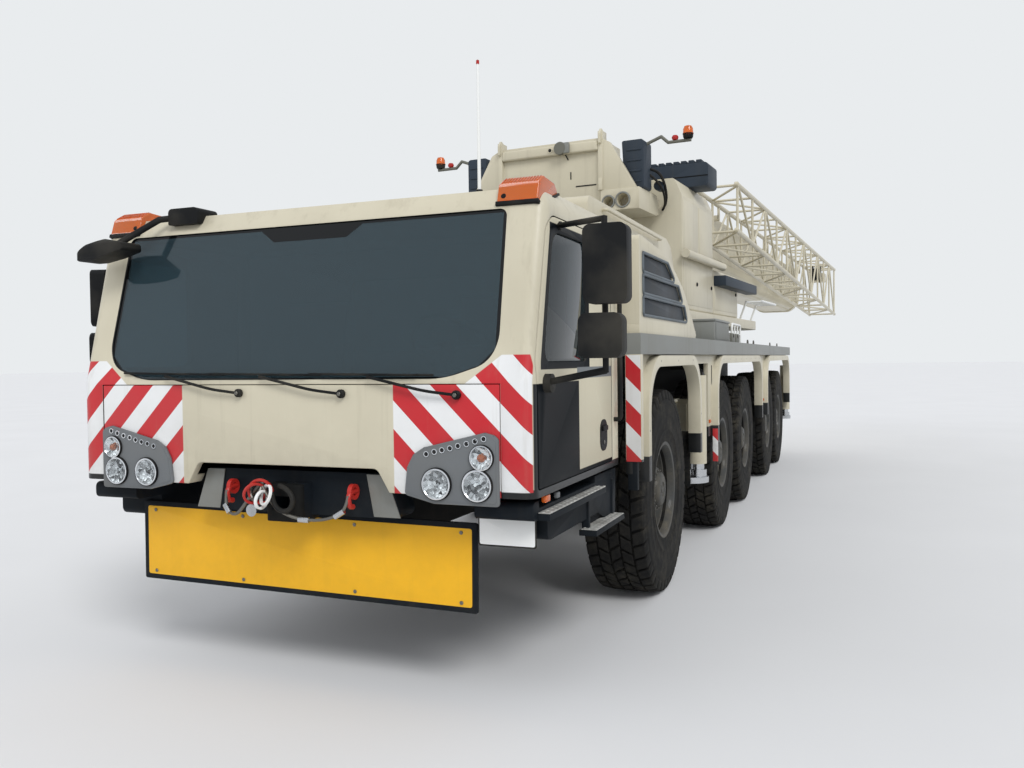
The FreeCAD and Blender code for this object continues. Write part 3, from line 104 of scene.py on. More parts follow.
def rounded_corners(points, radius, steps=4):
    """The outline with an arc at each corner; radius is one number or one for each corner."""
    radii = radius if isinstance(radius, list) else [radius] * len(points)
    outline = []
    for index, (point, size) in enumerate(zip(points, radii)):
        here = Vector(point)
        back = (Vector(points[index - 1]) - here).normalized()
        ahead = (Vector(points[(index + 1) % len(points)]) - here).normalized()
        half = back.angle(ahead) / 2
        centre = here + (back + ahead).normalized() * (size / math.sin(half))
        start = here + back * (size / math.tan(half)) - centre
        end = here + ahead * (size / math.tan(half)) - centre
        for step in range(steps + 1):
            outline.append(tuple(centre + start.normalized().slerp(end.normalized(), step / steps) * size))
    return outline


def rectangle(low, high):
    return [(low[0], low[1]), (high[0], low[1]), (high[0], high[1]), (low[0], high[1])]


def plate(material, outline, axis, low, high, bevel=0, segments=2):
    """A flat outline drawn out along an axis, its rims rounded."""
    bpy.ops.mesh.primitive_circle_add(vertices=len(outline), radius=1, fill_type="NGON")
    piece = bpy.context.object
    for vertex, (a, b) in zip(piece.data.vertices, outline):
        vertex.co = {"x": (low, a, b), "y": (a, low, b), "z": (a, b, low)}[axis]
    run = high - low
    way = {"x": (run, 0, 0), "y": (0, run, 0), "z": (0, 0, run)}[axis]
    edit_all(piece)
    bpy.ops.mesh.extrude_region_move(TRANSFORM_OT_translate={"value": way})
    bpy.ops.mesh.select_all(action="SELECT")
    bpy.ops.mesh.normals_make_consistent(inside=False)
    if bevel:
        bpy.ops.mesh.select_all(action="DESELECT")
        bpy.ops.mesh.edges_select_sharp(sharpness=math.radians(50))
        bpy.ops.mesh.bevel(offset=bevel, segments=segments, affect="EDGES")
    return finished(piece, material)


def turned(material, profile, start=(0, 0, 0), way=z_way, steps=32):
    """A closed half section, as (along, out) pairs, spun about a line through start."""
    bpy.ops.mesh.primitive_circle_add(vertices=len(profile), radius=1, fill_type="NOTHING")
    piece = bpy.context.object
    for vertex, (along, out) in zip(piece.data.vertices, profile):
        vertex.co = (out, 0, along)
    edit_all(piece)
    bpy.ops.mesh.spin(steps=steps, angle=2 * math.pi, center=(0, 0, 0), axis=z_way)
    bpy.ops.mesh.select_all(action="SELECT")
    bpy.ops.mesh.remove_doubles(threshold=0.00005)
    bpy.ops.mesh.dissolve_degenerate(threshold=0.00005)
    bpy.ops.mesh.select_all(action="SELECT")
    bpy.ops.mesh.normals_make_consistent(inside=False)
    made = finished(piece, material)
    turn = Vector(way).to_track_quat("Z", "Y").to_matrix().to_4x4()
    piece.data.transform(Matrix.Translation(start) @ turn)
    return made


def disc(material, start, way, radius, depth, steps=24, edge=0.2):
    """A short round bar with softened rims."""
    soft = min(radius, depth) * edge
    profile = [(0, 0), (0, radius - soft), (soft, radius), (depth - soft, radius), (depth, radius - soft),
               (depth, 0)]
    return turned(material, profile, start, way, steps)


def piped(material, piece, radius, resolution):
    """A curve made into a capped round tube."""
    piece.data.bevel_depth = radius
    piece.data.bevel_resolution = resolution
    piece.data.use_fill_caps = True
    select_only([piece])
    bpy.ops.object.convert(target="MESH")
    piece = bpy.context.object
    edit_all(piece)
    bpy.ops.mesh.remove_doubles(threshold=0.00002)
    bpy.ops.mesh.normals_make_consistent(inside=False)
    return finished(piece, material)


def tube(material, points, radius, corner=0, resolution=3):
    """A bent round tube through points, each inner corner bent to a radius."""
    spots = []
    for index, point in enumerate(points):
        here = Vector(point)
        if corner and 0 < index < len(points) - 1:
            back = Vector(points[index - 1]) - here
            ahead = Vector(points[index + 1]) - here
            reach = min(corner, back.length * 0.48, ahead.length * 0.48)
            first = here + back.normalized() * reach
            last = here + ahead.normalized() * reach
            spots.append((first, first + (first - here) * 0.2, first.lerp(here, 0.55)))
            spots.append((last, last.lerp(here, 0.55), last + (last - here) * 0.2))
        else:
            spots.append((here, here, here))
    bpy.ops.curve.primitive_bezier_curve_add(location=(0, 0, 0))
    piece = bpy.context.object
    piece.data.dimensions = "3D"
    piece.data.resolution_u = 6
    spline = piece.data.splines[0]
    spline.bezier_points.add(len(spots) - 2)
    for bent, (co, left, right) in zip(spline.bezier_points, spots):
        bent.handle_left_type = bent.handle_right_type = "FREE"
        bent.co, bent.handle_left, bent.handle_right = co, left, right
    return piped(material, piece, radius, resolution)


def hose(material, points, radius):
    """A soft hose: one smooth line that follows its five or more points."""
    bpy.ops.curve.primitive_nurbs_path_add(location=(0, 0, 0))
    piece = bpy.context.object
    spline = piece.data.splines[0]
    spline.points.add(len(points) - 5)
    for control, point in zip(spline.points, points):
        control.co = (*point, 1)
    spline.order_u = 3
    spline.use_endpoint_u = True
    spline.resolution_u = 6
    return piped(material, piece, radius, 3)


def again(piece, place):
    """A copy with its own mesh, moved or mirrored by a matrix."""
    other = piece.copy()
    other.data = piece.data.copy()
    other.data.transform(place)
    if place.is_negative:
        other.data.flip_normals()
    bpy.context.scene.collection.objects.link(other)
    return other


def copies(pieces, places):
    """The pieces at each place, which is a matrix or a shift, in place of the first ones."""
    places = [place if isinstance(place, Matrix) else Matrix.Translation(place) for place in places]
    made = [again(piece, place) for place in places for piece in pieces]
    for piece in pieces:
        bpy.data.objects.remove(piece)
    return made


def both_sides(pieces):
    return pieces + [again(piece, mirror) for piece in pieces]


def bars(material, spans, radius, steps=10):
    """Round bars between pairs of points, one bar modelled and copied to each span."""
    bpy.ops.mesh.primitive_cylinder_add(vertices=steps, radius=radius, depth=1, location=(0, 0, 0.5))
    bar = finished(apply_place(bpy.context.object), material)
    places = []
    for start, end in spans:
        run = Vector(end) - Vector(start)
        turn = run.to_track_quat("Z", "Y").to_matrix().to_4x4()
        places.append(Matrix.Translation(start) @ turn @ Matrix.Diagonal((1, 1, run.length, 1)))
    return copies(bar, places)


def join(pieces, name):
    select_only(pieces)
    if len(pieces) > 1:
        bpy.ops.object.join()
    piece = bpy.context.view_layer.objects.active
    piece.name = name
    piece.data.name = name
    return piece


def ride_on(piece, body, smooth, replaced):
    """Smooths the piece, lets it ride on its body and stand for the solid it replaces."""
    select_only([piece])
    bpy.ops.object.shade_smooth_by_angle(angle=math.radians(smooth))
    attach(piece, body)
    if replaced:
        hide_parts(replaced)
    return piece


def settle(pieces, name, slot, body="carrier", place=carrier_frame, smooth=35, replaced=None):
    """Joins the parts of one piece and puts it in its frame."""
    piece = join(pieces, name)
    piece.data.transform(place)
    return ride_on(piece, body, smooth, replaced)


def loose_parts(node_name):
    """A copy of a solid, flat faces merged, as loose parts with the corners of each in the carrier's frame."""
    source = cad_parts[node_name]
    piece = source.copy()
    piece.data = source.data.copy()
    piece.parent = None
    for key in list(piece.keys()):
        del piece[key]
    bpy.context.scene.collection.objects.link(piece)
    edit_all(piece)
    bpy.ops.mesh.remove_doubles(threshold=0.00002)
    bpy.ops.mesh.dissolve_limited(angle_limit=math.radians(0.6))
    bpy.ops.mesh.separate(type="LOOSE")
    bpy.ops.object.mode_set(mode="OBJECT")
    found = []
    for part in list(bpy.context.selected_objects):
        corners = [carrier_frame.inverted() @ vertex.co for vertex in part.data.vertices]
        low, high = (Vector([pick(axis) for axis in zip(*corners)]) for pick in (min, max))
        found.append((part, low, high))
    return found


def from_solid(node_name, name, slot, choose, bevel=0.004, body="carrier"):
    """A copy of a solid with rounded edges, its finish given or chosen for each loose part by its corners."""
    parts = loose_parts(node_name)
    for part, low, high in parts:
        part.data.materials.clear()
        part.data.materials.append(choose(low, high) if callable(choose) else choose)
    piece = join([part for part, low, high in parts], name)
    rounding = piece.modifiers.new("rounded edges", "BEVEL")
    rounding.width = bevel
    rounding.segments = 2
    rounding.limit_method = "ANGLE"
    rounding.angle_limit = math.radians(40)
    select_only([piece])
    bpy.ops.object.modifier_apply(modifier=rounding.name)
    return ride_on(piece, body, 35, node_name)


# Finishes

def linear(hex_colour):
    """An sRGB hex colour as the linear colour that a shader takes."""
    values = [int(hex_colour[start:start + 2], 16) / 255 for start in (1, 3, 5)]
    return (*[v / 12.92 if v <= 0.04045 else ((v + 0.055) / 1.055) ** 2.4 for v in values], 1)


def node(material, kind, values=(), **settings):
    """Adds a shader node; its values, by name or in order, are numbers, colours, nodes or sockets."""
    made = material.node_tree.nodes.new("ShaderNode" + kind)
    for name, value in settings.items():
        setattr(made, name, value)
    for name, value in values.items() if isinstance(values, dict) else enumerate(values):
        if isinstance(value, bpy.types.Node):
            value = value.outputs[0]
        if isinstance(value, bpy.types.NodeSocket):
            material.node_tree.links.new(value, made.inputs[name])
        else:
            made.inputs[name].default_value = value
    return made


def new_finish(name):
    """An empty material, what adds a node to it, and object coordinates from the carrier's drawing frame."""
    material = bpy.data.materials.new(name)
    material.use_nodes = True
    material.node_tree.nodes.clear()
    add = partial(node, material)
    return material, add, add("Mapping", [add("TexCoord").outputs["Object"], -carrier_shift])


def surface(material, values):
    node(material, "OutputMaterial", [node(material, "BsdfPrincipled", values)])
    return material


def weathered(add, colour, dust, amount, hold, place):
    """Cloudy fading, rain streaks and road dust thickest near the ground; hold is how much of it shows."""
    cloud = add("TexNoise", {"Vector": place, "Scale": 1.3, "Detail": 6, "Roughness": 0.6})
    faded = add("MapRange", [cloud, 0.35, 0.75, 0, 0.4 * amount])
    streak_place = add("Mapping", {"Vector": place, "Scale": (14, 14, 0.7)})
    streak = add("TexNoise", {"Vector": streak_place, "Scale": 1, "Detail": 4, "Roughness": 0.65})
    run = add("MapRange", [streak, 0.56, 0.8, 0, 0.5 * amount])
    height = add("SeparateXYZ", [place]).outputs["Z"]
    lower = add("MapRange", [height, 0.35, 1.5, 1, 0])
    grit = add("TexNoise", {"Vector": place, "Scale": 9, "Detail": 8, "Roughness": 0.7})
    spatter = add("MapRange", [grit, 0.4, 0.68, 0.15, 1])
    dusty = add("Math", [lower, spatter], operation="MULTIPLY")
    dirt = add("Math", [dusty, amount, run], operation="MULTIPLY_ADD")
    dirt = add("Math", [dirt, faded], operation="ADD", use_clamp=True)
    dirt = add("Math", [dirt, hold], operation="MULTIPLY")
    return add("Mix", {0: dirt, 6: colour, 7: dust}, data_type="RGBA").outputs[2], dirt


def sprayed(name, colour="#c9c2ac", dust="#8f8672", roughness=0.36, amount=0.55, markings=None, coat=0.1,
            gloss=0.3):
    """Two-pack enamel, sprayed: slight orange peel, dulled where dust lies, less dusty on dark markings."""
    material, add, place = new_finish(name)
    base, hold = linear(colour), 1
    if markings:
        base = markings(add, base, *add("SeparateXYZ", [place]).outputs)
        hold = add("MapRange", [add("RGBToBW", [base]), 0, 0.25, 0.12, 1])
    shown, dirt = weathered(add, base, linear(dust), amount, hold, place)
    peel = add("TexNoise", {"Vector": place, "Scale": 260, "Detail": 2})
    relief = add("Bump", {"Height": peel, "Strength": 0.05, "Distance": 0.001})
    dull = add("MapRange", [dirt, 0, 0.8, roughness, 0.75])
    return surface(material, {"Base Color": shown, "Roughness": dull, "Normal": relief, "Coat Weight": coat,
                              "Coat Roughness": 0.12, "Specular IOR Level": gloss})


stripe_pitch = 0.277
stripe_start = 1.894
stripe_red = linear("#bd1e29")
stripe_white = linear("#e3e4e4")
door_dark = linear("#101418")
door_band = linear("#74787a")
soft_edge = 0.002


def inside(add, *ranges, soft=soft_edge):
    """1 where each value lies between its two limits, with soft edges of a few millimetres."""
    mask = None
    for value, low, high in ranges:
        rise = add("MapRange", [value, low - soft, low + soft, 0, 1])
        fall = add("MapRange", [value, high - soft, high + soft, 1, 0])
        found = add("Math", [rise, fall], operation="MULTIPLY")
        mask = add("Math", [mask, found], operation="MULTIPLY") if mask else found
    return mask


def stripes_where(add, base, across, height, mask):
    """Slanted red and white reflective film where the mask is 1."""
    phase = add("Math", [across, height], operation="ADD")
    phase = add("Math", [phase, 1 / stripe_pitch, -stripe_start / stripe_pitch], operation="MULTIPLY_ADD")
    phase = add("Math", [phase], operation="FRACT")
    red = inside(add, (phase, 0, 0.5), soft=0.006)
    film = add("Mix", {0: red, 6: stripe_white, 7: stripe_red}, data_type="RGBA").outputs[2]
    return add("Mix", {0: mask, 6: base, 7: film}, data_type="RGBA").outputs[2]


def post_markings(add, base, x, y, height):
    """Stripes all over."""
    return stripes_where(add, base, x, height, 1)


def front_panel_markings(add, base, x, y, height):
    """Striped ends beside the plain middle."""
    across = add("Math", [x], operation="ABSOLUTE")
    return stripes_where(add, base, across, height, inside(add, (across, 0.647, 1.3)))


def shell_markings(add, base, x, y, height):
    """Striped corner posts and strips under the windscreen's corners; dark round the doors' lower front."""
    across = add("Math", [x], operation="ABSOLUTE")
    post = inside(add, (across, 1.212, 1.36), (height, 1.1, 1.737), (y, -0.1, 0.045))
    brow = add("Math", [across, -0.75, height], operation="MULTIPLY_ADD")
    corner = inside(add, (brow, 0.2, 0.83), (across, 0.93, 1.215), (height, 1.6, 1.737), (y, -0.1, 0.045))
    mask = add("Math", [post, corner], operation="MAXIMUM")
    flank = inside(add, (across, 1.362, 2), (height, 0.9, 1.6), (y, -0.1, 0.69))
    dark = add("Math", [flank, inside(add, (height, 0.8, 1.112))], operation="MAXIMUM")
    base = add("Mix", {0: dark, 6: base, 7: door_dark}, data_type="RGBA").outputs[2]
    return stripes_where(add, base, across, height, mask)


def door_markings(add, base, x, y, height):
    """Dark lower front quarter, cream behind it, a grey band, and black round the window."""
    lean = add("MapRange", [height, 1.7, 2.335, 0, 0.15])
    level = add("Math", [y, lean], operation="SUBTRACT")
    surround = inside(add, (level, 0.105, 2), (y, 0, 0.885), (height, 1.665, 2.375))
    quarter = inside(add, (y, 0, 0.69), (height, 0.9, 1.6))
    dark = add("Math", [quarter, inside(add, (height, 0.9, 1.13))], operation="MAXIMUM")
    dark = add("Math", [dark, surround], operation="MAXIMUM")
    colour = add("Mix", {0: dark, 6: base, 7: door_dark}, data_type="RGBA").outputs[2]
    band = inside(add, (height, 1.61, 1.67), (y, 0.66, 1.65))
    return add("Mix", {0: band, 6: colour, 7: door_band}, data_type="RGBA").outputs[2]


def side_markings(add, base, x, y, height):
    """Cream arches over the blue-black lower side."""
    low = inside(add, (height, 0, 1.09))
    return add("Mix", {0: low, 6: base, 7: door_dark}, data_type="RGBA").outputs[2]


cream_enamel = sprayed("cream_enamel")
panel_enamel = sprayed("panel_enamel", markings=front_panel_markings)
shell_enamel = sprayed("shell_enamel", markings=shell_markings)
door_enamel = sprayed("door_enamel", amount=0.12, markings=door_markings, coat=0, gloss=0.03)
side_enamel = sprayed("side_enamel", markings=side_markings)
film_stripes = sprayed("film_stripes", markings=post_markings)
grey_enamel = sprayed("grey_enamel", "#7f817d", "#6d675a", 0.45)
blue_black_enamel = sprayed("blue_black_enamel", "#161c22", "#4a453c", 0.45, 0.2, coat=0, gloss=0.05)
frame_enamel = sprayed("frame_enamel", "#141617", "#3c3832", 0.6, 0.45, coat=0, gloss=0.05)
guard_enamel = sprayed("guard_enamel", "#323b45", "#5d574c", 0.45, 0.3, coat=0, gloss=0.12)
wheel_enamel = sprayed("wheel_enamel", "#2b3033", "#5f594d", 0.5, 0.8)
red_enamel = sprayed("red_enamel", "#b3261f", "#5d574c", 0.45, 0.2)
olive_enamel = sprayed("olive_enamel", "#6b6b62", "#4d493f", 0.5)
sign_yellow = sprayed("sign_yellow", "#efb41c", "#6b5a2c", 0.5, 0.12)
plate_white = sprayed("plate_white", "#e9eae8", "#8f8672", 0.45, 0.08)


def moulded(name, colour, grain=700, roughness=0.55, relief=0.12):
    """Injection-moulded plastic with a fine leather-like grain."""
    material, add, place = new_finish(name)
    pits = add("TexVoronoi", {"Vector": place, "Scale": grain})
    cloud = add("TexNoise", {"Vector": place, "Scale": 3, "Detail": 5})
    dust = add("MapRange", [cloud, 0.45, 0.8, 0, 0.3])
    shown = add("Mix", {0: dust, 6: linear(colour), 7: linear("#6f6a5e")}, data_type="RGBA").outputs[2]
    bump = add("Bump", {"Height": pits, "Strength": relief, "Distance": 0.0008})
    dull = add("MapRange", [cloud, 0.3, 0.8, roughness - 0.08, roughness + 0.15])
    return surface(material, {"Base Color": shown, "Roughness": dull, "Normal": bump,
                              "Specular IOR Level": 0.15})


black_plastic = moulded("black_plastic", "#151617")
grey_plastic = moulded("grey_plastic", "#6b6e70", roughness=0.5)
slate_plastic = moulded("slate_plastic", "#626a70", roughness=0.5)
mesh_panel = moulded("mesh_panel", "#2b3239", 150, 0.45, 0.5)
headliner = moulded("headliner", "#26282a", 420, 0.9, 0.02)
seat_cloth = moulded("seat_cloth", "#24262a", 420, 0.9, 0.5)


def rubber(name, colour, dust_amount):
    """Tyre rubber: carbon black, matt, with pale dust caught in the tread and on the walls."""
    material, add, place = new_finish(name)
    grit = add("TexNoise", {"Vector": place, "Scale": 14, "Detail": 8, "Roughness": 0.75})
    cake = add("TexNoise", {"Vector": place, "Scale": 3.2, "Detail": 4})
    worn = add("MapRange", [grit, 0.42, 0.72, 0, dust_amount])
    laid = add("MapRange", [cake, 0.4, 0.7, 0.2, 1])
    dust = add("Math", [worn, laid], operation="MULTIPLY")
    shown = add("Mix", {0: dust, 6: linear(colour), 7: linear("#77705f")}, data_type="RGBA").outputs[2]
    bump = add("Bump", {"Height": grit, "Strength": 0.35, "Distance": 0.002})
    return surface(material, {"Base Color": shown, "Roughness": 0.86, "Normal": bump,
                              "Specular IOR Level": 0.2})


tyre_rubber = rubber("tyre_rubber", "#161616", 0.34)
flap_rubber = rubber("flap_rubber", "#111213", 0.22)


def bare_metal(name, colour, roughness, scratch=60, metallic=1):
    """Bare metal: rolled or turned, with fine scratches and a little tarnish."""
    material, add, place = new_finish(name)
    long_place = add("Mapping", {"Vector": place, "Scale": (1, 0.06, 1)})
    lines = add("TexNoise", {"Vector": long_place, "Scale": scratch, "Detail": 6, "Roughness": 0.7})
    cloud = add("TexNoise", {"Vector": place, "Scale": 5, "Detail": 6})
    tarnish = add("MapRange", [cloud, 0.45, 0.75, 0, 0.45])
    shown = add("Mix", {0: tarnish, 6: linear(colour), 7: linear("#5b564d")}, data_type="RGBA").outputs[2]
    dull = add("MapRange", [lines, 0.3, 0.8, roughness - 0.08, roughness + 0.2])
    bump = add("Bump", {"Height": lines, "Strength": 0.08, "Distance": 0.0006})
    return surface(material, {"Base Color": shown, "Metallic": metallic, "Roughness": dull, "Normal": bump})


bright_steel = bare_metal("bright_steel", "#c3c5c7", 0.22)
chequer_aluminium = bare_metal("chequer_aluminium", "#c6c5bf", 0.42, metallic=0.4)
wire_steel = bare_metal("wire_steel", "#7c7a74", 0.45)
mirror_glass = bare_metal("mirror_glass", "#d9dcde", 0.12, 8)


def clear_layer(name, tint, transmission, roughness, border=None, gloss=0.5):
    """Glass or clear plastic, faintly tinted in the mass, with a light film of dirt."""
    material, add, place = new_finish(name)
    film = add("TexNoise", {"Vector": place, "Scale": 2.4, "Detail": 7, "Roughness": 0.6})
    haze = add("MapRange", [film, 0.4, 0.8, roughness, roughness + 0.015])
    shown, passing = linear(tint), transmission
    if border:
        edge = border(add, *add("SeparateXYZ", [place]).outputs)
        shown = add("Mix", {0: edge, 6: shown, 7: linear("#0d0f10")}, data_type="RGBA").outputs[2]
        passing = add("MapRange", [edge, 0, 1, transmission, 0])
    return surface(material, {"Base Color": shown, "Roughness": haze, "Transmission Weight": passing,
                              "IOR": 1.5,
                              "Specular IOR Level": gloss})


# Inside edge of the windscreen's border: a point on each of its sides and the way out across it, as x and z
border_sides = [((0.93, 1.641), (0.302, -0.953)), ((1.095, 1.697), (0.7, -0.714)),
                ((1.165, 1.812), (1, 0.019)),
                ((0, 2.424), (0, 1)), ((0, 1.64), (0, -1))]


def screen_border(add, x, y, height):
    """Black ceramic border printed round the windscreen, wide at its lower corners, with the sensor's tab."""
    across = add("Math", [x], operation="ABSOLUTE")
    outside = 0
    for (near, level), (out_x, out_z) in border_sides:
        reach = add("Math", [across, out_x, -near * out_x - level * out_z], operation="MULTIPLY_ADD")
        reach = add("Math", [height, out_z, reach], operation="MULTIPLY_ADD")
        outside = add("Math", [outside, reach], operation="MAXIMUM")
    slope = add("MapRange", [height, 2.36, 2.424, 0.225, 0.315])
    middle = add("Math", [x, 0.05], operation="SUBTRACT")
    middle = add("Math", [middle], operation="ABSOLUTE")
    tab = add("Math", [slope, middle], operation="SUBTRACT")
    tab = inside(add, (tab, 0, 1), (height, 2.36, 2.44))
    printed = add("Math", [inside(add, (outside, 0.002, 9)), tab], operation="MAXIMUM")
    return add("Math", [printed, inside(add, (y, -0.2, 0.6))], operation="MULTIPLY")


cab_glazing = clear_layer("cab_glazing", "#57707a", 0.8, 0.005, border=screen_border, gloss=0.35)
side_glazing = clear_layer("side_glazing", "#46575c", 0.8, 0.005, gloss=0.12)
lamp_lens = clear_layer("lamp_lens", "#f4f7f8", 1, 0)
amber_lens = clear_layer("amber_lens", "#e8742a", 0.45, 0.12)
red_lens = clear_layer("red_lens", "#c2261f", 0.4, 0.12)


def painted_reflection_facets(name, facet, dark, light):
    """Vacuum-coated metal of a lamp: small facets whose base colour is painted reflection, each cell set
    between a dark and a bright grey, so that they look faceted under any light.
    """
    material, add, place = new_finish(name)
    cells = add("TexVoronoi", {"Vector": place, "Scale": facet})
    tone = add("SeparateColor", [cells.outputs["Color"]]).outputs["Red"]
    # Painted reflection: the dark and bright greys of the cells stand in for what each facet of the metal
    # would throw back.
    shown = add("Mix", {0: tone, 6: linear(dark), 7: linear(light)}, data_type="RGBA").outputs[2]
    bump = add("Bump", {"Height": cells, "Strength": 0.6, "Distance": 0.006})
    return surface(material, {"Base Color": shown, "Metallic": 1, "Roughness": 0.14, "Normal": bump})


# Lamp bowls and bezels: bright metal whose facets carry painted reflections.
lamp_bowl = painted_reflection_facets("lamp_bowl", 55, "#23272b", "#f2f4f6")
lamp_bezel = painted_reflection_facets("lamp_bezel", 4, "#c9cdd1", "#f2f4f6")


# Wheels: tyre with block tread, deep rim, disc, studs and planetary hub

tyre_radius = 0.745
wheel_out = 1.19

# Half of the tyre's section from the tread's middle to the bead, as out across the tyre and up from the hub
tyre_half = [
    (0.12, 0.724), (0.185, 0.716), (0.205, 0.69), (0.2155, 0.65), (0.2185, 0.64), (0.216, 0.61), (0.2215,
                                                                                                  0.56),
    (0.2225, 0.552), (0.2215, 0.545), (0.222, 0.53), (0.2135, 0.457), (0.2165, 0.452), (0.2165, 0.442),
    (0.212, 0.43), (0.201, 0.378), (0.204, 0.372), (0.198, 0.342), (0.186, 0.322), (0.15, 0.318),
]

# Tread rows: from, to across the tyre, how far a block leans round, turn of the first
tread_rows = [(-0.205, -0.128, 0.012, 0), (-0.116, -0.046, -0.022, 0.5), (-0.034, 0.034, 0.022, 0.2),
              (0.046, 0.116, -0.022, 0.5), (0.128, 0.205, 0.012, 0)]
tread_count = 42


def tyre():
    """Carcass with its walls' steps, and the rows of tread blocks bent to the shoulders."""
    profile = [(-out, up) for out, up in reversed(tyre_half)] + [(0, 0.727)] + tyre_half
    pieces = turned(tyre_rubber, profile + [(0.15, 0.306), (-0.15, 0.306)], way=x_way, steps=72)
    half = 2 * math.pi * tyre_radius / tread_count * 0.4
    for start, end, lean, turn in tread_rows:
        outline = [(start, -half - lean), (end, -half + lean), (end, half + lean), (start, half - lean)]
        lug = plate(tyre_rubber, outline, "z", 0.712, 0.7445, 0.004, 1)
        outer = max(abs(start), abs(end))
        for vertex in lug[0].data.vertices:
            away = abs(vertex.co.x)
            if outer > 0.15 and away > outer - 0.02:
                vertex.co.z -= 0.012 if vertex.co.z > 0.72 else 0.05
                vertex.co.x *= 1 if vertex.co.z > 0.72 else 1.045
            else:
                vertex.co.z -= away * away * 0.12
        pieces += copies(lug, ring_places(tread_count, turn))
    return pieces


def ring_places(count, turn=0):
    return [Matrix.Rotation(2 * math.pi * (index + turn) / count, 4, "X") for index in range(count)]


def rim():
    """Deep drop-centre rim with its disc, a ring of studs and the planetary hub's cover."""
    barrel = [
        (0.186, 0.322), (0.198, 0.33), (0.202, 0.352), (0.192, 0.352), (0.186, 0.338), (0.15, 0.332), (0.12,
                                                                                                       0.3),
        (0.075, 0.296), (0.062, 0.285), (0.06, 0.235), (0.044, 0.215), (0.044, 0.15), (0.024, 0.15), (0.024,
                                                                                                      0.215),
        (0.04, 0.24), (0.04, 0.289), (-0.12, 0.292), (-0.15, 0.322), (-0.186, 0.33), (-0.192, 0.346),
        (-0.198, 0.346), (-0.198, 0.322), (-0.15, 0.312), (-0.14, 0.305), (0.15, 0.309),
    ]
    hub = [
        (0.02, 0), (0.02, 0.186), (0.05, 0.188), (0.07, 0.186), (0.076, 0.17), (0.128, 0.166), (0.146, 0.15),
        (0.15, 0.128), (0.172, 0.122), (0.184, 0.106), (0.185, 0.055), (0.178, 0.05), (0.178, 0.03), (0.185,
                                                                                                      0.026),
        (0.185, 0),
    ]
    parts = turned(wheel_enamel, barrel, way=x_way, steps=64) + turned(wheel_enamel, hub, way=x_way, steps=48)
    parts += turned(wheel_enamel, [(-0.058, 0.066), (-0.058, 0.185), (0.03, 0.185), (0.03, 0.066)],
                    way=x_way, steps=40)
    parts += copies(disc(wire_steel, (0.058, 0, 0.2625), x_way, 0.0125, 0.026, 6), ring_places(24))
    parts += copies(disc(wire_steel, (0.148, 0, 0.139), x_way, 0.008, 0.01, 6), ring_places(16, 0.5))
    return parts + tube(black_plastic, [(0.066, 0, 0.276), (0.115, 0, 0.29), (0.16, 0, 0.3)], 0.005, 0.02)


def wheels():
    whole = join(tyre() + rim(), "wheel_pattern")
    for number, y in enumerate(axles, 1):
        for side_name, side in sides:
            turn = Matrix.Rotation(0 if side > 0 else math.pi, 4, "Z") @ Matrix.Rotation(number * 0.7, 4, "X")
            place = carrier_frame @ Matrix.Translation((side * wheel_out, y, tyre_radius))
            name = f"wheel_{number}_{side_name}"
            settle([again(whole, turn)], f"road_{name}", "tyre", name, place, 40, name)
    bpy.data.objects.remove(whole)


wheels()


# Carrier cab: shell, panel, doors, glass and what is fixed to them

def finish_node(name, material):
    """Gives a solid that keeps its own shape its finish."""
    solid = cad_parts[name]
    solid.data.materials.clear()
    solid.data.materials.append(material)


def repaint(piece, material, place, chosen):
    """Faces that are chosen by their middle in a frame and their present finish get another."""
    back = place.inverted()
    piece.data.materials.append(material)
    slot = len(piece.data.materials) - 1
    for face in piece.data.polygons:
        if chosen(back @ face.center, face):
            face.material_index = slot


def between(low, high):
    return lambda middle, face: all(low[axis] <= middle[axis] <= high[axis] for axis in range(3))


def line_inside(piece, middle):
    """The faces that look towards the middle of a room get its lining, but not its panes."""
    panes = [index for index, slot in enumerate(piece.data.materials) if slot in (side_glazing, cab_glazing)]
    repaint(piece, headliner, Matrix(), lambda centre, face: (
        face.normal.dot(middle - centre) > 0 and face.material_index not in panes))


def cab_panels():
    middle = carrier_frame @ Vector((0, 0.8, 1.85))
    line_inside(from_solid("cab_shell", "cab_skin", "cream_cab", shell_enamel, 0.006), middle)
    from_solid("cab_front_panel", "cab_nose_panel", "cream_cab", panel_enamel, 0.005)
    finish_node("cab_glass", cab_glazing)
    mirrors = {"left": [(1.725, 0.06, 2.13), (1.7, 0.06, 1.815)],
               "right": [(-1.599, 0.462, 2.13), (-1.59, 0.438, 1.815)]}
    reach = Vector((0.012, 0.012, 0.012))
    for name, side in sides:
        door = from_solid(f"cab_door_{name}", f"cab_door_skin_{name}", "cream_cab", lambda low, high: (
            side_glazing if high.x - low.x < 0.12 and high.z - low.z < 0.75 else door_enamel
        ), 0.005, f"cab_door_{name}")
        line_inside(door, middle)
        near, far = sorted((side * 1.3765, side * 2))
        repaint(door, black_plastic, carrier_frame, between((near, -0.2, 1.5), (far, 0.6, 2.5)))
        for face in mirrors[name]:
            repaint(door, mirror_glass, carrier_frame, between(Vector(face) - reach, Vector(face) + reach))


# Lamp panel: outline of the grey housing, then each lamp's x and z, and the radius of the round ones
lamp_outline = [(0.709, 1.069), (0.725, 1.203), (0.759, 1.265), (0.816, 1.3), (1.136, 1.376), (1.184, 1.364),
                (1.206, 1.345), (1.207, 1.03), (0.868, 1.031)]
round_lamps = [(0.886, 1.127, 0.071), (1.098, 1.127, 0.071), (1.122, 1.258, 0.056)]
day_lamps = [(0.834, 1.269), (0.877, 1.281), (0.918, 1.29), (0.96, 1.3), (1.002, 1.312), (1.046, 1.322),
             (1.09, 1.335), (1.134, 1.347)]
lamp_face = -0.0185


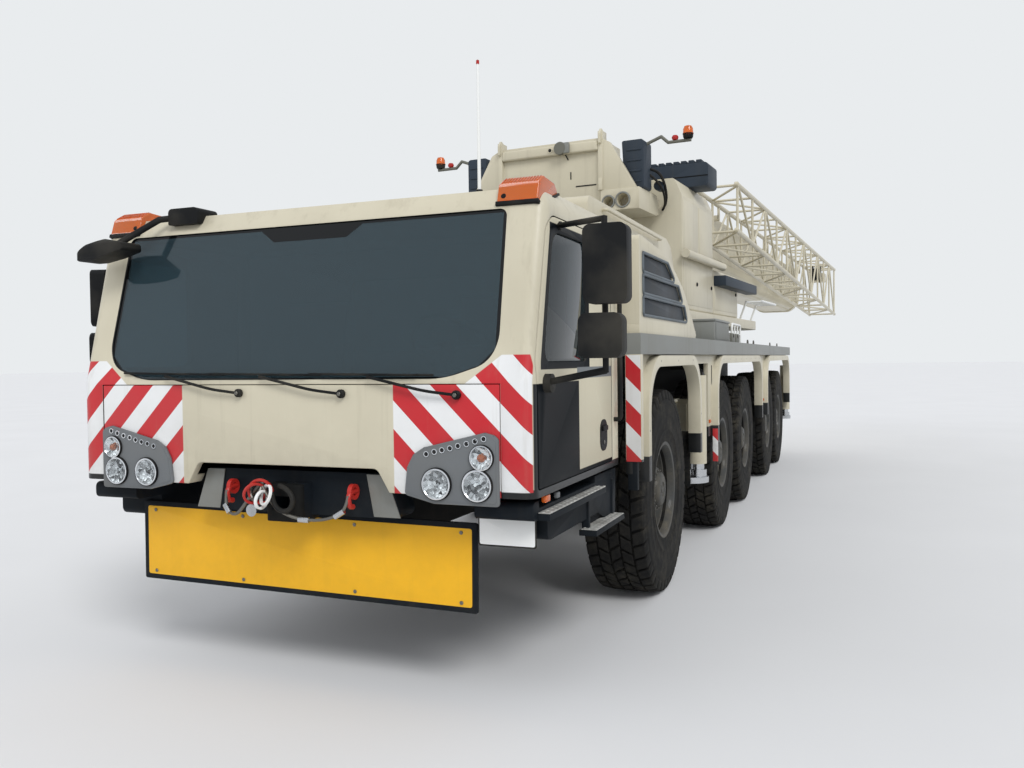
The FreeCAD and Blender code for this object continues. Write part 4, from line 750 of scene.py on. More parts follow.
def round_lamp(x, z, radius):
    """Faceted bowl with painted reflections and its capped bulb behind a domed lens, in a bright bezel with
    painted reflections and a dark gap round it.
    """
    parts = []
    for material, steps, profile in (
        (lamp_bowl, 36, [(0, 0), (0, 0.93), (-0.0125, 0.93), (-0.0115, 0.88), (-0.006, 0.62), (-0.003, 0.3),
                         (-0.003, 0)]),
        (black_plastic, 40, [(0.002, 0.92), (-0.01, 0.92), (-0.01, 1.12), (0.002, 1.13)]),
        (lamp_bezel, 40, [(-0.004, 0.93), (-0.013, 0.93), (-0.0155, 0.97), (-0.013, 1.05), (-0.004, 1.06)]),
        (lamp_lens, 36, [(-0.0175, 0), (-0.0165, 0.5), (-0.0135, 0.93), (-0.0125, 0.93), (-0.0155, 0.5),
                         (-0.0165, 0)]),
        (lamp_bowl, 18, [(-0.002, 0), (-0.002, 0.26), (-0.01, 0.22), (-0.0135, 0.08), (-0.0135, 0)]),
    ):
        profile = [(along, out * radius) for along, out in profile]
        parts += turned(material, profile, (x, lamp_face, z), y_way, steps)
    return parts


def front_lamps():
    outline = rounded_corners(lamp_outline, [0.02] * 7 + [0.015, 0.02], 3)
    inner = [(0.94 * (x - 0.97) + 0.97, 0.92 * (z - 1.19) + 1.19) for x, z in outline]
    parts = plate(grey_plastic, outline, "y", -0.016, -0.0003, 0.005)
    parts += plate(grey_plastic, inner, "y", lamp_face, -0.012, 0.002)
    for x, z, radius in round_lamps:
        parts += round_lamp(x, z, radius)
    parts += turned(amber_lens, [(0, 0), (0, 0.02), (-0.01, 0.02), (-0.0155, 0.012), (-0.016, 0)],
                    (x, lamp_face, z), y_way, 16)
    day_lamp = turned(lamp_lens, [(0, 0.01), (-0.006, 0.008), (-0.009, 0), (0, 0)], (0, lamp_face, 0), y_way,
                      12)
    day_lamp += turned(lamp_bezel, [(0, 0.01), (-0.004, 0.0105), (-0.004, 0.0145), (0, 0.0155)],
                       (0, lamp_face, 0),
                       y_way, 12)
    return both_sides(parts + copies(day_lamp, [(x, 0, z) for x, z in day_lamps]))


def roof_beacons():
    """Orange wedges round the roof's front corners: ribbed lens on a dark foot, a small lamp low in front."""
    wedge_line = rounded_corners([(0.202, 2.474), (0.232, 2.462), (0.51, 2.548), (0.455, 2.596), (0.3, 2.606),
                                  (0.232, 2.566)], [0.006, 0.01, 0.01, 0.03, 0.035, 0.03])
    rib_line = [(0.214, 2.49), (0.24, 2.576), (0.3, 2.609), (0.33, 2.606), (0.25, 2.5)]
    foot_line = [(0.196, 2.462), (0.232, 2.446), (0.52, 2.544), (0.512, 2.556), (0.234, 2.47), (0.202, 2.482)]
    parts = plate(amber_lens, wedge_line, "x", 1.122, 1.334, 0.007, 3)
    parts += copies(plate(amber_lens, rib_line, "x", 1.136, 1.139),
                    [(0.015 * index, 0, 0) for index in range(13)])
    parts += plate(black_plastic, foot_line, "x", 1.116, 1.34, 0.003)
    return both_sides(parts + disc(black_plastic, (1.155, 0.222, 2.503), (0, -0.95, 0.3), 0.015, 0.014, 16,
                                   0.4))


def rear_lamps():
    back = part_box("lamps")[1].y - carrier_shift.y
    parts = block(black_plastic, (0.952, back - 0.04, 1.122), (1.158, back - 0.012, 1.218), 0.004)
    for start, end, material in ((0.956, 1.02, amber_lens), (1.024, 1.088, red_lens),
                                 (1.092, 1.154, lamp_lens)):
        parts += block(material, (start, back - 0.014, 1.128), (end, back - 0.001, 1.212), 0.004)
    return both_sides(parts)


def on_screen(x, z):
    """A point on the outside of the panel or, above it, of the sloping windscreen."""
    return Vector((x, -0.012 if z < 1.61 else (z - 1.61) * 0.247 - 0.014, z))


def wiper(pivot_x, pivot_z, reach, low, high):
    """Bent arm from its spindle to the middle of a blade that lies on the glass."""
    parts = disc(black_plastic, (pivot_x, 0.002, pivot_z), front_way, 0.022, 0.03, 16, 0.3)
    bend = (pivot_x + (reach[0] - pivot_x) * 0.35, -0.03, pivot_z + 0.02)
    hold = on_screen(*reach) - Vector((0, 0.022, 0))
    parts += tube(black_plastic, [(pivot_x, -0.022, pivot_z), bend, hold], 0.0075, 0.05)
    first, last, lift = on_screen(*low), on_screen(*high), Vector((0, -0.012, 0))
    parts += bars(black_plastic, [(first, last)], 0.006, 8)
    parts += bars(black_plastic, [(first.lerp(last, 0.12) + lift, first.lerp(last, 0.88) + lift)], 0.005, 8)
    claws = [first.lerp(last, share) for share in (0.12, 0.37, 0.63, 0.88)]
    parts += bars(black_plastic, [(claw, claw + lift) for claw in claws], 0.004, 6)
    return parts + disc(wire_steel, (pivot_x, -0.026, pivot_z), front_way, 0.011, 0.01, 6)


def wipers():
    parts = wiper(0.993, 1.551, (0.52, 1.64), (0.17, 1.655), (0.87, 1.645))
    parts += wiper(0.36, 1.556, (-0.12, 1.645), (-0.47, 1.66), (0.24, 1.65))
    parts += wiper(-0.264, 1.559, (-0.74, 1.65), (-1.05, 1.668), (-0.36, 1.655))
    settle(parts, "wipers", "mirror_black")


def towing_front():
    """Red tow hooks in their eyes and the grey cheeks of the bumper's recess."""
    parts = []
    for x in (-0.362, 0.383):
        parts += tube(red_enamel, [(x, 0.085, 1.06), (x, 0.02, 1.06), (x, 0, 1.03), (x, 0.012, 0.99),
                                   (x, 0.045, 0.985)], 0.014, 0.02)
        parts += turned(red_enamel, [(-0.01, 0.022), (0.01, 0.022), (0.012, 0.04), (-0.012, 0.04)],
                        (x, 0.05, 1.06),
                        x_way, 20)
    cheek_line = [(0.44, 1.146), (0.555, 1.146), (0.632, 0.932), (0.48, 0.932)]
    parts += both_sides(plate(grey_enamel, cheek_line, "y", 0.082, 0.0895, 0.003))
    settle(parts, "front_hooks", "cream_paint")


def stowed_slings():
    """Two short wire slings with pressed ferrules, hooked on at both sides and bundled on the jaw."""
    parts = hose(wire_steel, [
        (0.383, 0, 1.045), (0.38, -0.012, 0.99), (0.33, -0.022, 0.945), (0.23, -0.028, 0.918), (0.11, -0.05,
                                                                                                0.925),
        (0.02, -0.072, 0.965), (-0.04, -0.078, 1.03), (-0.08, -0.07, 1.085)], 0.0085)
    parts += hose(wire_steel, [
        (-0.362, 0, 1.045), (-0.365, -0.012, 0.985), (-0.33, -0.025, 0.93), (-0.27, -0.04, 0.925),
        (-0.21, -0.058, 0.975), (-0.15, -0.072, 1.04), (-0.095, -0.074, 1.09)], 0.0085)
    parts += bars(bright_steel, [
        ((0.368, -0.016, 0.972), (0.318, -0.023, 0.941)), ((-0.362, -0.015, 0.97), (-0.325, -0.027, 0.93)),
        ((0.175, -0.038, 0.92), (0.12, -0.048, 0.923))], 0.015, 14)
    for index, (x, z, size, tilt) in enumerate(((-0.085, 1.06, 0.062, 12), (-0.05, 1.045, 0.05, -20),
                                                (-0.115, 1.05, 0.055, 34), (-0.07, 1.02, 0.044, 58))):
        coil = turned(plate_white if index % 2 else red_enamel, [
            (-0.006, size - 0.006), (0.006, size - 0.006), (0.008, size), (0.006, size + 0.006),
            (-0.006, size + 0.006), (-0.008, size)], (0, 0, 0), y_way, 28)
        turn = Matrix.Rotation(math.radians(tilt), 4, "X") @ Matrix.Rotation(math.radians(tilt * 1.4), 4, "Z")
        parts += copies(coil, [Matrix.Translation((x, -0.08 - 0.004 * index, z)) @ turn])
    parts += hose(black_plastic, [
        (0.01, -0.05, 1.09), (0.075, -0.075, 1.08), (0.115, -0.078, 1.03), (0.095, -0.078,
                                                                            0.975), (0.04, -0.08, 0.96),
        (-0.01, -0.08, 1), (-0.02, -0.076, 1.06)], 0.013)
    parts += tube(wire_steel, [(-0.15, -0.056, 1.1), (-0.15, -0.085, 1.05), (-0.12, -0.09, 1.01),
                               (-0.09, -0.085, 1.05), (-0.09, -0.056, 1.1)], 0.011, 0.02)
    parts += disc(bright_steel, (-0.139, -0.086, 0.962), front_way, 0.032, 0.003, 28, 0.3)
    settle(parts, "stowed_slings", "cable_steel")


def step_tread(low, high, pitch=0.03):
    """Chequer plate: a folded tray with raised lozenges set two ways."""
    bpy.ops.mesh.primitive_uv_sphere_add(segments=8, ring_count=4, radius=1, location=(0, 0, 0))
    pip = finished(bpy.context.object, chequer_aluminium)
    pip[0].data.transform(Matrix.Diagonal((0.012, 0.004, 0.0025, 1)))
    places = []
    for row in range(int((high[0] - low[0] - 0.01) / pitch) + 1):
        for column in range(int((high[1] - low[1] - 0.02) / pitch) + 1):
            turn = Matrix.Rotation(math.radians(45 if (row + column) % 2 else -45), 4, "Z")
            spot = (low[0] + 0.014 + row * pitch, low[1] + 0.016 + column * pitch, high[2])
            places.append(Matrix.Translation(spot) @ turn)
    return block(chequer_aluminium, low, high, 0.003, 1) + copies(pip, places)


def cab_steps():
    parts = step_tread((1.322, 0.125, 0.986), (1.404, 1.075, 0.99))
    parts += step_tread((1.322, 0.855, 0.776), (1.414, 1.435, 0.78))
    settle(both_sides(parts), "step_plates", "cable_steel")


def door_fittings():
    """Handle cup with its lever and lock on each door; marker lamps and grab rail beside it."""
    for name, side in sides:
        cup_line = rounded_corners(rectangle((1.072, 1.185), (1.218, 1.365)), 0.06, 6)
        inner_line = rounded_corners(rectangle((1.084, 1.197), (1.206, 1.353)), 0.052, 6)
        handle = plate(black_plastic, cup_line, "x", 1.3745, 1.3775, 0.001)
        handle += plate(black_plastic, inner_line, "x", 1.3765, 1.3782)
        handle += block(black_plastic, (1.3782, 1.098, 1.3), (1.392, 1.192, 1.33), 0.006, 3)
        handle += disc(wire_steel, (1.3782, 1.145, 1.235), x_way, 0.012, 0.004, 16, 0.3)
        fixed = block(amber_lens, (1.346, 0.165, 1.03), (1.372, 0.235, 1.066), 0.008)
        fixed += block(grey_plastic, (1.346, 0.345, 1.026), (1.368, 0.387, 1.056), 0.006)
        fixed += tube(black_plastic, [(1.37, 1.375, 1.35), (1.415, 1.375, 1.35), (1.415, 1.375, 2.1),
                                      (1.37, 1.375, 2.1)], 0.014, 0.04)
        place = mirror if side < 0 else Matrix()
        settle(copies(handle, [place]), f"door_handle_{name}", "mirror_black", f"cab_door_{name}")
        settle(copies(fixed, [place]), f"cab_side_fittings_{name}", "mirror_black")


def aerial():
    """Whip aerial on its cone at the roof's left, with a red tip."""
    parts = turned(black_plastic, [(0, 0), (0, 0.06), (0.02, 0.058), (0.055, 0.03), (0.12, 0.018), (0.12, 0)],
                   (0.77, 0.8, 2.548), steps=24)
    parts += turned(plate_white, [(0, 0), (0, 0.01), (0.7, 0.007), (0.7, 0)], (0.77, 0.8, 2.668), steps=12)
    parts += turned(red_lens, [(0, 0), (0, 0.009), (0.02, 0.009), (0.026, 0)], (0.77, 0.8, 3.366), steps=12)
    settle(parts, "aerial", "mirror_black")


def warning_board():
    """Blank yellow board with a black rim and its bolts, and a blank plate in a dark frame."""
    board_line = rounded_corners(rectangle((-1.067, 0.455), (1.067, 0.911)), 0.012)
    face_line = rounded_corners(rectangle((-1.038, 0.484), (1.038, 0.882)), 0.012)
    board = plate(blue_black_enamel, board_line, "y", 0.2297, 0.2495, 0.003)
    board += plate(sign_yellow, face_line, "y", 0.229, 0.231, 0.0005)
    board += copies(disc(wire_steel, (0, 0.2292, 0), front_way, 0.011, 0.005, 6, 0.3),
                    [(x, 0, z) for x in (-0.98, -0.36, 0.36, 0.98) for z in (0.505, 0.86)])
    turn = Matrix.Translation((-0.087, 0, 0.7)) @ Matrix.Rotation(math.radians(0.55), 4, "Y")
    parts = copies(board, [turn @ Matrix.Translation((0, 0, -0.7))])
    holder_line = rounded_corners(rectangle((1.003, 0.8), (1.308, 0.952)), 0.01)
    blank_line = rounded_corners(rectangle((1.01, 0.808), (1.301, 0.944)), 0.01)
    parts += plate(black_plastic, holder_line, "y", 0.1975, 0.204, 0.001)
    parts += plate(plate_white, blank_line, "y", 0.1962, 0.198, 0.0005)
    parts += block(black_plastic, (1.1, 0.204, 0.86), (1.2, 0.2547, 0.9), 0.003)
    settle(parts, "front_boards", "sign_yellow", replaced="front_signs")


cab_panels()
settle(front_lamps() + roof_beacons() + rear_lamps(), "carrier_lamps", "lamp_grey", replaced="lamps")
wipers()
towing_front()
stowed_slings()
cab_steps()
door_fittings()
aerial()
warning_board()
finish_node("cab_interior", seat_cloth)
from_solid("front_mirror", "kerb_mirror", "mirror_black", black_plastic, 0.008)


# Carrier behind the cab: side strip, arches, deck, engine hood and outriggers

def side_strips():
    """Striped post behind the cab on each side, and the short low strip between the first two arches."""
    parts = block(film_stripes, (1.403, 1.5485, 1.078), (1.4965, 1.552, 1.733))
    parts += block(blue_black_enamel, (1.41, 1.5525, 0.9), (1.47, 1.599, 1.075), 0.004)
    parts += block(film_stripes, (1.452, 4.47, 0.76), (1.4985, 4.49, 1.06), 0.002)
    settle(both_sides(parts), "side_strips", "cream_paint")


def deck_fittings():
    """Ribbed grey boxes, tool cases, low rails and lashing rings on the deck."""
    deck = 1.867
    parts = block(grey_enamel, (1.02, 4.72, deck), (1.44, 5.6, 2.06), 0.012)
    parts += block(grey_enamel, (1.01, 4.71, 2.056), (1.45, 5.61, 2.078), 0.006)
    parts += copies(block(grey_enamel, (1.441, 4.76, 1.885), (1.448, 4.785, 2.045), 0.003),
                    [(0, 0.048 * index, 0) for index in range(17)])
    for y in (5.72, 6.1, 6.42):
        parts += block(olive_enamel, (1.06, y, deck), (1.4, y + 0.26, 1.975), 0.01)
        parts += block(wire_steel, (1.4, y + 0.1, 1.93), (1.41, y + 0.15, 1.965), 0.003)
    parts += tube(plate_white, [(1.3, 6.8, deck), (1.3, 6.8, 2.1), (1.3, 7.5, 2.1), (1.3, 7.5, deck)], 0.014,
                  0.05)
    parts += tube(plate_white, [(1.3, 6.8, 1.985), (1.3, 7.5, 1.985)], 0.01)
    parts += bars(plate_white, [((1.3, y, deck), (1.3, y, 2.1)) for y in (7.03, 7.26)], 0.01)
    ring = turned(wire_steel, rectangle((-0.007, 0.03), (0.007, 0.044)), way=x_way, steps=20)
    parts += copies(ring, [(1.36, y, 1.885) for y in (1.75, 3.75, 7.75, 8.35, 10.4, 11.5)])
    settle(both_sides(parts), "deck_fittings", "grey_paint")


def cowl_screens():
    """Mesh in the three louvre openings of a cowl, each behind a frame of slate bars."""
    parts = []
    for low, end_low, end_high in ((1.985, 3.06, 2.96), (2.12, 2.9, 2.74), (2.255, 2.64, 2.38)):
        back = [(1.66, low + 0.012), (end_low - 0.02, low + 0.012), (end_high - 0.015, low + 0.102),
                (1.66, low + 0.102)]
        outer = [(1.642, low - 0.01), (end_low + 0.016, low - 0.01), (end_high + 0.01, low + 0.122),
                 (1.642, low + 0.122)]
        inner = [(1.656, low + 0.003), (end_low - 0.004, low + 0.003), (end_high - 0.006, low + 0.108),
                 (1.656, low + 0.108)]
        inner = rounded_corners(inner, 0.015)
        middles = [((a + c) / 2, (b + d) / 2) for (a, b), (c, d) in zip(rounded_corners(outer, 0.02), inner)]
        spans = [((1.492, *here), (1.492, *there)) for here, there in zip(middles, middles[1:] + middles[:1])]
        parts += plate(blue_black_enamel, back, "x", 1.456, 1.46)
        parts += bars(slate_plastic, [span for span in spans if math.dist(*span) > 0.002], 0.01, 8)
        parts += plate(mesh_panel, inner, "x", 1.476, 1.48, 0.001)
    return parts


def hood_fittings():
    """Mesh screens in the cowls, shut lines, catches, grab rails, grille and exhaust outlet of the hood."""
    parts = cowl_screens()
    seam = block(blue_black_enamel, (1.136, 1.77, 1.93), (1.1385, 1.782, 2.648))
    seam += block(black_plastic, (1.15, 1.87, 2.18), (1.162, 1.94, 2.215), 0.004)
    parts += copies(seam, [(0, 0.56 * index, 0) for index in range(4)])
    parts += tube(cream_enamel, [(1.15, 1.95, 2.7), (1.185, 1.95, 2.7), (1.185, 3.6, 2.7), (1.15, 3.6, 2.7)],
                  0.011, 0.03)
    slat = block(blue_black_enamel, (-0.7, 1.7, 2.75), (0.7, 1.712, 2.762), 0.002, 1)
    parts = both_sides(parts) + copies(slat, [(0, 0.045 * index, 0) for index in range(22)])
    parts += turned(wire_steel, rectangle((0, 0.07), (0.22, 0.08)), (-0.86, 3.55, 2.7), steps=28)
    parts += turned(wire_steel, rectangle((0, 0.095), (0.14, 0.1)), (-0.86, 3.55, 2.72), steps=28)
    settle(parts, "hood_fittings", "grey_paint")


def side_fittings():
    """Marker lamps, filler, ribs and the bolts round the arches along the side panels."""
    marker = block(amber_lens, (1.4395, 0, 1.12), (1.456, 0.06, 1.15), 0.005)
    parts = copies(marker, [(0, y, 0) for y in (3.74, 4.33, 8.2, 8.66)])
    parts += disc(black_plastic, (1.439, 3.98, 1.5), x_way, 0.09, 0.018, 32)
    parts += block(black_plastic, (1.456, 3.95, 1.488), (1.47, 4.01, 1.512), 0.005)
    parts += block(blue_black_enamel, (1.439, 4.485, 1.465), (1.4415, 4.52, 1.64))
    parts += copies(block(cream_enamel, (1.4385, 0, 1.12), (1.446, 0.012, 1.72), 0.002),
                    [(0, 8.1, 0), (0, 8.75, 0)])
    spots = []
    for start, end in ((1.82, 3.58), (4.56, 8.07), (8.78, 12.16)):
        spots += [(y, z) for z in (1.06, 1.25) for y in (start - 0.038, end + 0.038)]
        count = int((end - start - 0.6) / 0.4)
        spots += [(start + 0.3 + (end - start - 0.6) * index / count, 1.692) for index in range(count + 1)]
    parts += copies(disc(wire_steel, (1.4965, 0, 0), x_way, 0.008, 0.004, 6), [(0, y, z) for y, z in spots])
    settle(both_sides(parts), "side_fittings", "cream_paint")


def driveline():
    """Shafts with their joints between the axles, spring struts, brake chambers and air pipes."""
    parts = []
    for first, last in zip(axles, axles[1:]):
        parts += bars(frame_enamel, [((0, first + 0.3, 0.8), (0, last - 0.3, 0.8))], 0.05, 16)
        for y in (first + 0.24, last - 0.31):
            parts += disc(frame_enamel, (0, y, 0.8), y_way, 0.085, 0.07, 16)
    for y in axles:
        corners = [(x, lean) for x in (-0.62, 0.62) for lean in (-1, 1)]
        parts += bars(bright_steel, [((x, y + lean * 0.16, 0.86), (x, y + lean * 0.05, 1.3)) for x,
                                     lean in corners],
                      0.045, 14)
        parts += bars(frame_enamel, [((x, y + lean * 0.12, 1.02), (x, y + lean * 0.08, 1.2)) for x,
                                     lean in corners],
                      0.065, 14)
        for x in (-0.68, 0.68):
            parts += disc(frame_enamel, (x, y - 0.17, 0.745), front_way, 0.085, 0.16, 20, 0.25)
    for x in (-0.432, 0.432):
        parts += hose(black_plastic, [(x, 1.9, 1.3), (x, 3.9, 1.26), (x, 6.5, 1.29), (x, 9, 1.26),
                                      (x, 12.2, 1.3)], 0.01)
    settle(parts, "driveline", "dark_paint")


def carrier_solids():
    """Solids that keep their shape, given finishes and rounded edges."""
    from_solid("fenders", "side_panels", "cream_paint", side_enamel, 0.006)
    from_solid("deck", "deck_plate", "grey_paint", grey_enamel)
    from_solid("side_boxes", "skirts_and_flaps", "dark_paint", lambda low, high: (
        flap_rubber if high.y - low.y < 0.03 else blue_black_enamel))
    from_solid("engine_housing", "engine_hood", "cream_paint", cream_enamel, 0.006)
    chassis = from_solid("chassis_frame", "carrier_frame_beams", "dark_paint", frame_enamel)
    for low, high, material in (((-1.2, 3.7, 1), (1.2, 4.5, 1.5), cream_enamel),
                                ((-1.2, 12.2, 1), (1.2, 12.9, 1.5), cream_enamel),
                                ((-0.66, 0.05, 0.9), (0.66, 0.26, 1.16), blue_black_enamel)):
        repaint(chassis, material, carrier_frame, between(low, high))
    finish_node("engine_block", olive_enamel)
    finish_node("axle_beams", frame_enamel)
    for side_name, side in sides:
        for number in range(1, 6):
            finish_node(f"knuckle_{number}_{side_name}", frame_enamel)
        for end in ("front", "rear"):
            finish_node(f"outrigger_{end}_{side_name}", cream_enamel)
            finish_node(f"jack_{end}_{side_name}", bright_steel)


carrier_solids()
side_strips()
deck_fittings()
hood_fittings()
side_fittings()
driveline()


# Superstructure, in its own frame: slewing axis at its origin, boom along +Y

def on_upper(pieces, name, slot, body="superstructure", **settings):
    return settle(pieces, name, slot, body, upper_frame, **settings)


def operator_finish(low, high):
    """Panes are thin; the seat stands low inside; the rest is the cabin's skin."""
    size = high - low
    if min(size) < 0.11 and max(size) > 0.4:
        return side_glazing
    return seat_cloth if size.x < 0.52 else cream_enamel


def housing_finish(low, high):
    """The guards are the short pieces high up."""
    size = high - low
    return guard_enamel if size.z < 0.6 and size.y < 0.5 and high.z > 3.8 else cream_enamel


def upper_solids():
    upper = {"body": "superstructure"}
    from_solid("platform", "upper_platform", "cream_paint", cream_enamel, 0.005, **upper)
    from_solid("tail_unit", "tail_panel", "cream_paint", cream_enamel, 0.006, **upper)
    housings = from_solid("upper_housings", "upper_cabinets", "cream_paint", housing_finish, 0.008, **upper)
    repaint(housings, guard_enamel, upper_frame, lambda middle, face: middle.z > 3.594 and middle.y > -2.9)
    repaint(housings, olive_enamel, upper_frame, lambda middle,
            face: middle.y < -2.9 and abs(middle.x) > 0.987)
    cabin = from_solid("operator_cab", "operator_cabin", "cream_paint", operator_finish, 0.006, **upper)
    line_inside(cabin, upper_frame @ Vector((-0.975, 0.35, 3)))
    from_solid("operator_door", "operator_cabin_door", "cream_paint", lambda low, high: (
        side_glazing if high.x - low.x < 0.1 else cream_enamel), 0.005, "operator_door")
    from_solid("luff_barrel", "luffing_barrel", "cream_paint", cream_enamel, body="luff_barrel")
    finish_node("winch_drum", wire_steel)
    finish_node("luff_rod", bright_steel)


tail_back = -3.59


def tail_fittings():
    """Tube over the panel with its pulley, slot and line, lugs on the posts, collars in the foot plate."""
    back = tail_back
    eye = (0.02, back - 0.012, 3.85)
    parts = block(cream_enamel, (-0.535, back - 0.012, 3.8), (0.535, back + 0.045, 3.9), 0.018, 3)
    parts += disc(black_plastic, (0.02, back - 0.013, 3.85), front_way, 0.018, 0.003, 20)
    parts += turned(cream_enamel, [(0, 0.017), (0, 0.028), (0.008, 0.026), (0.008, 0.019)], eye, front_way,
                    24)
    parts += turned(olive_enamel, [(0, 0), (0, 0.062), (0.008, 0.066), (0.016, 0.056), (0.024, 0.056),
                                   (0.032, 0.066),
                                   (0.04, 0.062), (0.04, 0)], (0.14, back - 0.012, 3.855), front_way, 28)
    parts += block(grey_enamel, (0.1, back - 0.05, 3.8), (0.24, back - 0.01, 3.91), 0.012)
    parts += block(black_plastic, (0.22, back + 0.038, 3.545), (0.232, back + 0.042, 3.62))
    parts += block(black_plastic, (0.28, back + 0.036, 3.462), (0.5, back + 0.041, 3.474))
    parts += bars(black_plastic, [((0.17, back + 0.036, 3.8), (0.2, back + 0.036, 3.745))], 0.006, 8)
    lug_line = rounded_corners([(back - 0.03, 3.86), (back + 0.09, 3.86), (back + 0.09, 3.99),
                                (back + 0.02, 4.02),
                                (back - 0.03, 3.96)], 0.012, 3)
    for x in (-0.56, 0.56):
        parts += plate(cream_enamel, lug_line, "x", x - 0.012, x + 0.012, 0.003)
        parts += block(cream_enamel, (x - 0.02, back - 0.014, 3.4), (x + 0.02, back, 3.52), 0.005)
        parts += disc(wire_steel, (x - 0.02, back + 0.03, 3.955), x_way, 0.016, 0.04, 16)
    for x, z, radius in ((0.64, 3.274, 0.052), (0.79, 3.286, 0.062)):
        collar = [(-0.004, radius + 0.001), (-0.012, radius + 0.004), (-0.012, radius + 0.014),
                  (0, radius + 0.02),
                  (0.004, radius + 0.001)]
        for hole_x in (-x, x):
            parts += turned(grey_enamel, collar, (hole_x, back, z), y_way, 36)
    on_upper(parts, "tail_fittings", "cream_paint")


def tail_beacons():
    """Amber beacons on short stems and red marker balls, on the ends of the bent arms."""
    y, seat, dome_seat = -3.39, 3.8563, 3.8963
    parts = []
    for x, ball_x in ((-1.4, -1.27), (1.4, 1.27)):
        parts += turned(black_plastic, [(0, 0), (0, 0.042), (0.012, 0.048), (0.036, 0.05), (0.04, 0)],
                        (x, y, seat),
                        steps=28)
        parts += turned(black_plastic, [(0, 0.048), (0, 0.0535), (0.008, 0.0535), (0.008, 0.048)],
                        (x, y, dome_seat),
                        steps=28)
        parts += turned(amber_lens, [(0, 0), (0, 0.05), (0.05, 0.048), (0.078, 0.036), (0.09, 0)],
                        (x, y, dome_seat),
                        steps=28)
        parts += turned(red_lens, [(0, 0), (0, 0.02), (0.008, 0.03), (0.026, 0.034), (0.044, 0.024),
                                   (0.05, 0)],
                        (ball_x, y, seat), steps=24)
    on_upper(parts, "tail_beacons", "amber", replaced="tail_lamps")


def upper_fittings():
    """Ribs, hoses and motors beside the guards, slats on the tray, covers and rails on the cabinets."""
    back = tail_back
    parts = []
    for side in (-1, 1):
        rib = block(guard_enamel, (-0.075, back + 0.072, 3.46), (0.075, back + 0.082, 3.478), 0.003)
        parts += copies(rib, [(side * 0.885, 0, 0.105 * index) for index in range(4)])
        for radius, points in (
            (0.014, [(0.98, 0.3, 3.62), (1.06, 0.34, 3.6), (1.1, 0.42, 3.48), (1.04, 0.7, 3.36),
                     (0.98, 0.78, 3.3)]),
            (0.012, [(0.98, 0.28, 3.56), (1.03, 0.34, 3.52), (1.08, 0.44, 3.42), (1.02, 0.72, 3.3),
                     (0.95, 0.78, 3.26)]),
        ):
            parts += hose(black_plastic, [(side * x, back + y, z) for x, y, z in points], radius)
        parts += turned(guard_enamel, [(0, 0), (0, 0.05), (0.1, 0.05), (0.11, 0.042), (0.16, 0.04),
                                       (0.16, 0)],
                        (side * 1.03, back + 0.42, 3.47), y_way, 24)
    parts += copies(block(guard_enamel, (0.6, -2.3, 3.85), (0.66, -1.9, 3.885), 0.005),
                    [(0.085 * index, 0, 0) for index in range(8)])
    parts += block(black_plastic, (0.58, -2.302, 3.7), (1.326, -2.298, 3.712))
    for start, end, low, high in ((-2.8, -2.2, 2.86, 3.38), (-2.14, -1.54, 2.86, 3.38),
                                  (-2.8, -1.54, 2.28, 2.8),
                                  (-1.44, -0.19, 2.28, 2.72)):
        parts += block(cream_enamel, (1.1785, start, low), (1.184, end, high), 0.003)
    parts += copies(disc(black_plastic, (1.184, 0, 2.52), x_way, 0.022, 0.012, 20, 0.3),
                    [(0, y, 0) for y in (-2.26, -1.6, -0.28)])
    parts += tube(cream_enamel, [(1.235, -2.9, 2.8), (1.235, -1.2, 2.8)], 0.045, resolution=5)
    parts += copies(disc(cream_enamel, (1.235, 0, 2.8), y_way, 0.048, 0.01), [(0, -2.908, 0), (0, -1.202, 0)])
    parts += copies(block(cream_enamel, (1.175, 0, 2.775), (1.215, 0.04, 2.825), 0.004),
                    [(0, -2.7, 0), (0, -1.4, 0)])
    parts += block(guard_enamel, (1.18, -1.46, 2.56), (1.33, 0.4, 2.68), 0.01)
    rungs = [((1.19, y, 2.47), (1.4, y, 2.47)) for y in (0.55, 0.8, 1.05, 1.3)]
    rungs += [((x, 0.35, 2.47), (x, 1.42, 2.47)) for x in (1.19, 1.4)]
    parts += bars(plate_white, rungs, 0.016)
    parts += bars(plate_white, [((1.19, y, 2.47), (1.1, y, 2.215)) for y in (0.38, 1.1)], 0.014)
    parts += tube(plate_white, [(-1.1, -2.8, 3.15), (-1.1, -2.8, 3.45), (-1.1, -1.1, 3.45),
                                (-1.1, -1.1, 3.15)], 0.016,
                  0.06)
    on_upper(parts, "upper_fittings", "dark_paint")


def hoist_rope():
    """Hoist rope lying in its turns on the drum."""
    turn = turned(wire_steel, [(-0.0095, 0.193), (-0.0067, 0.1995), (0, 0.2025), (0.0067, 0.1995),
                               (0.0095, 0.193)],
                  (-0.445, -1.3, 2.56), x_way, 40)
    laid = copies(turn, [(0.0195 * index, 0, 0) for index in range(46)])
    on_upper(laid, "hoist_rope", "cable_steel", "winch_drum", smooth=40)


def cabin_fittings():
    """Wiper, grab rail and work lamps of the operator's cabin."""
    parts = tube(black_plastic, [(-0.975, 1.03, 2.66), (-0.9, 0.995, 3.05)], 0.008)
    parts += tube(black_plastic, [(-1.345, 0.8, 2.75), (-1.375, 0.8, 2.75), (-1.375, 0.8, 3.35),
                                  (-1.345, 0.8, 3.35)],
                  0.012, 0.02)
    parts += bars(black_plastic, [((-0.93, 1.01, 2.84), (-0.87, 0.97, 3.24))], 0.007, 8)
    lamp = disc(black_plastic, (0, 0.86, 3.7), y_way, 0.055, 0.07)
    lamp += disc(lamp_lens, (0, 0.928, 3.7), y_way, 0.048, 0.006)
    on_upper(parts + copies(lamp, [(-1.16, 0, 0), (-0.8, 0, 0)]), "cabin_fittings", "mirror_black")


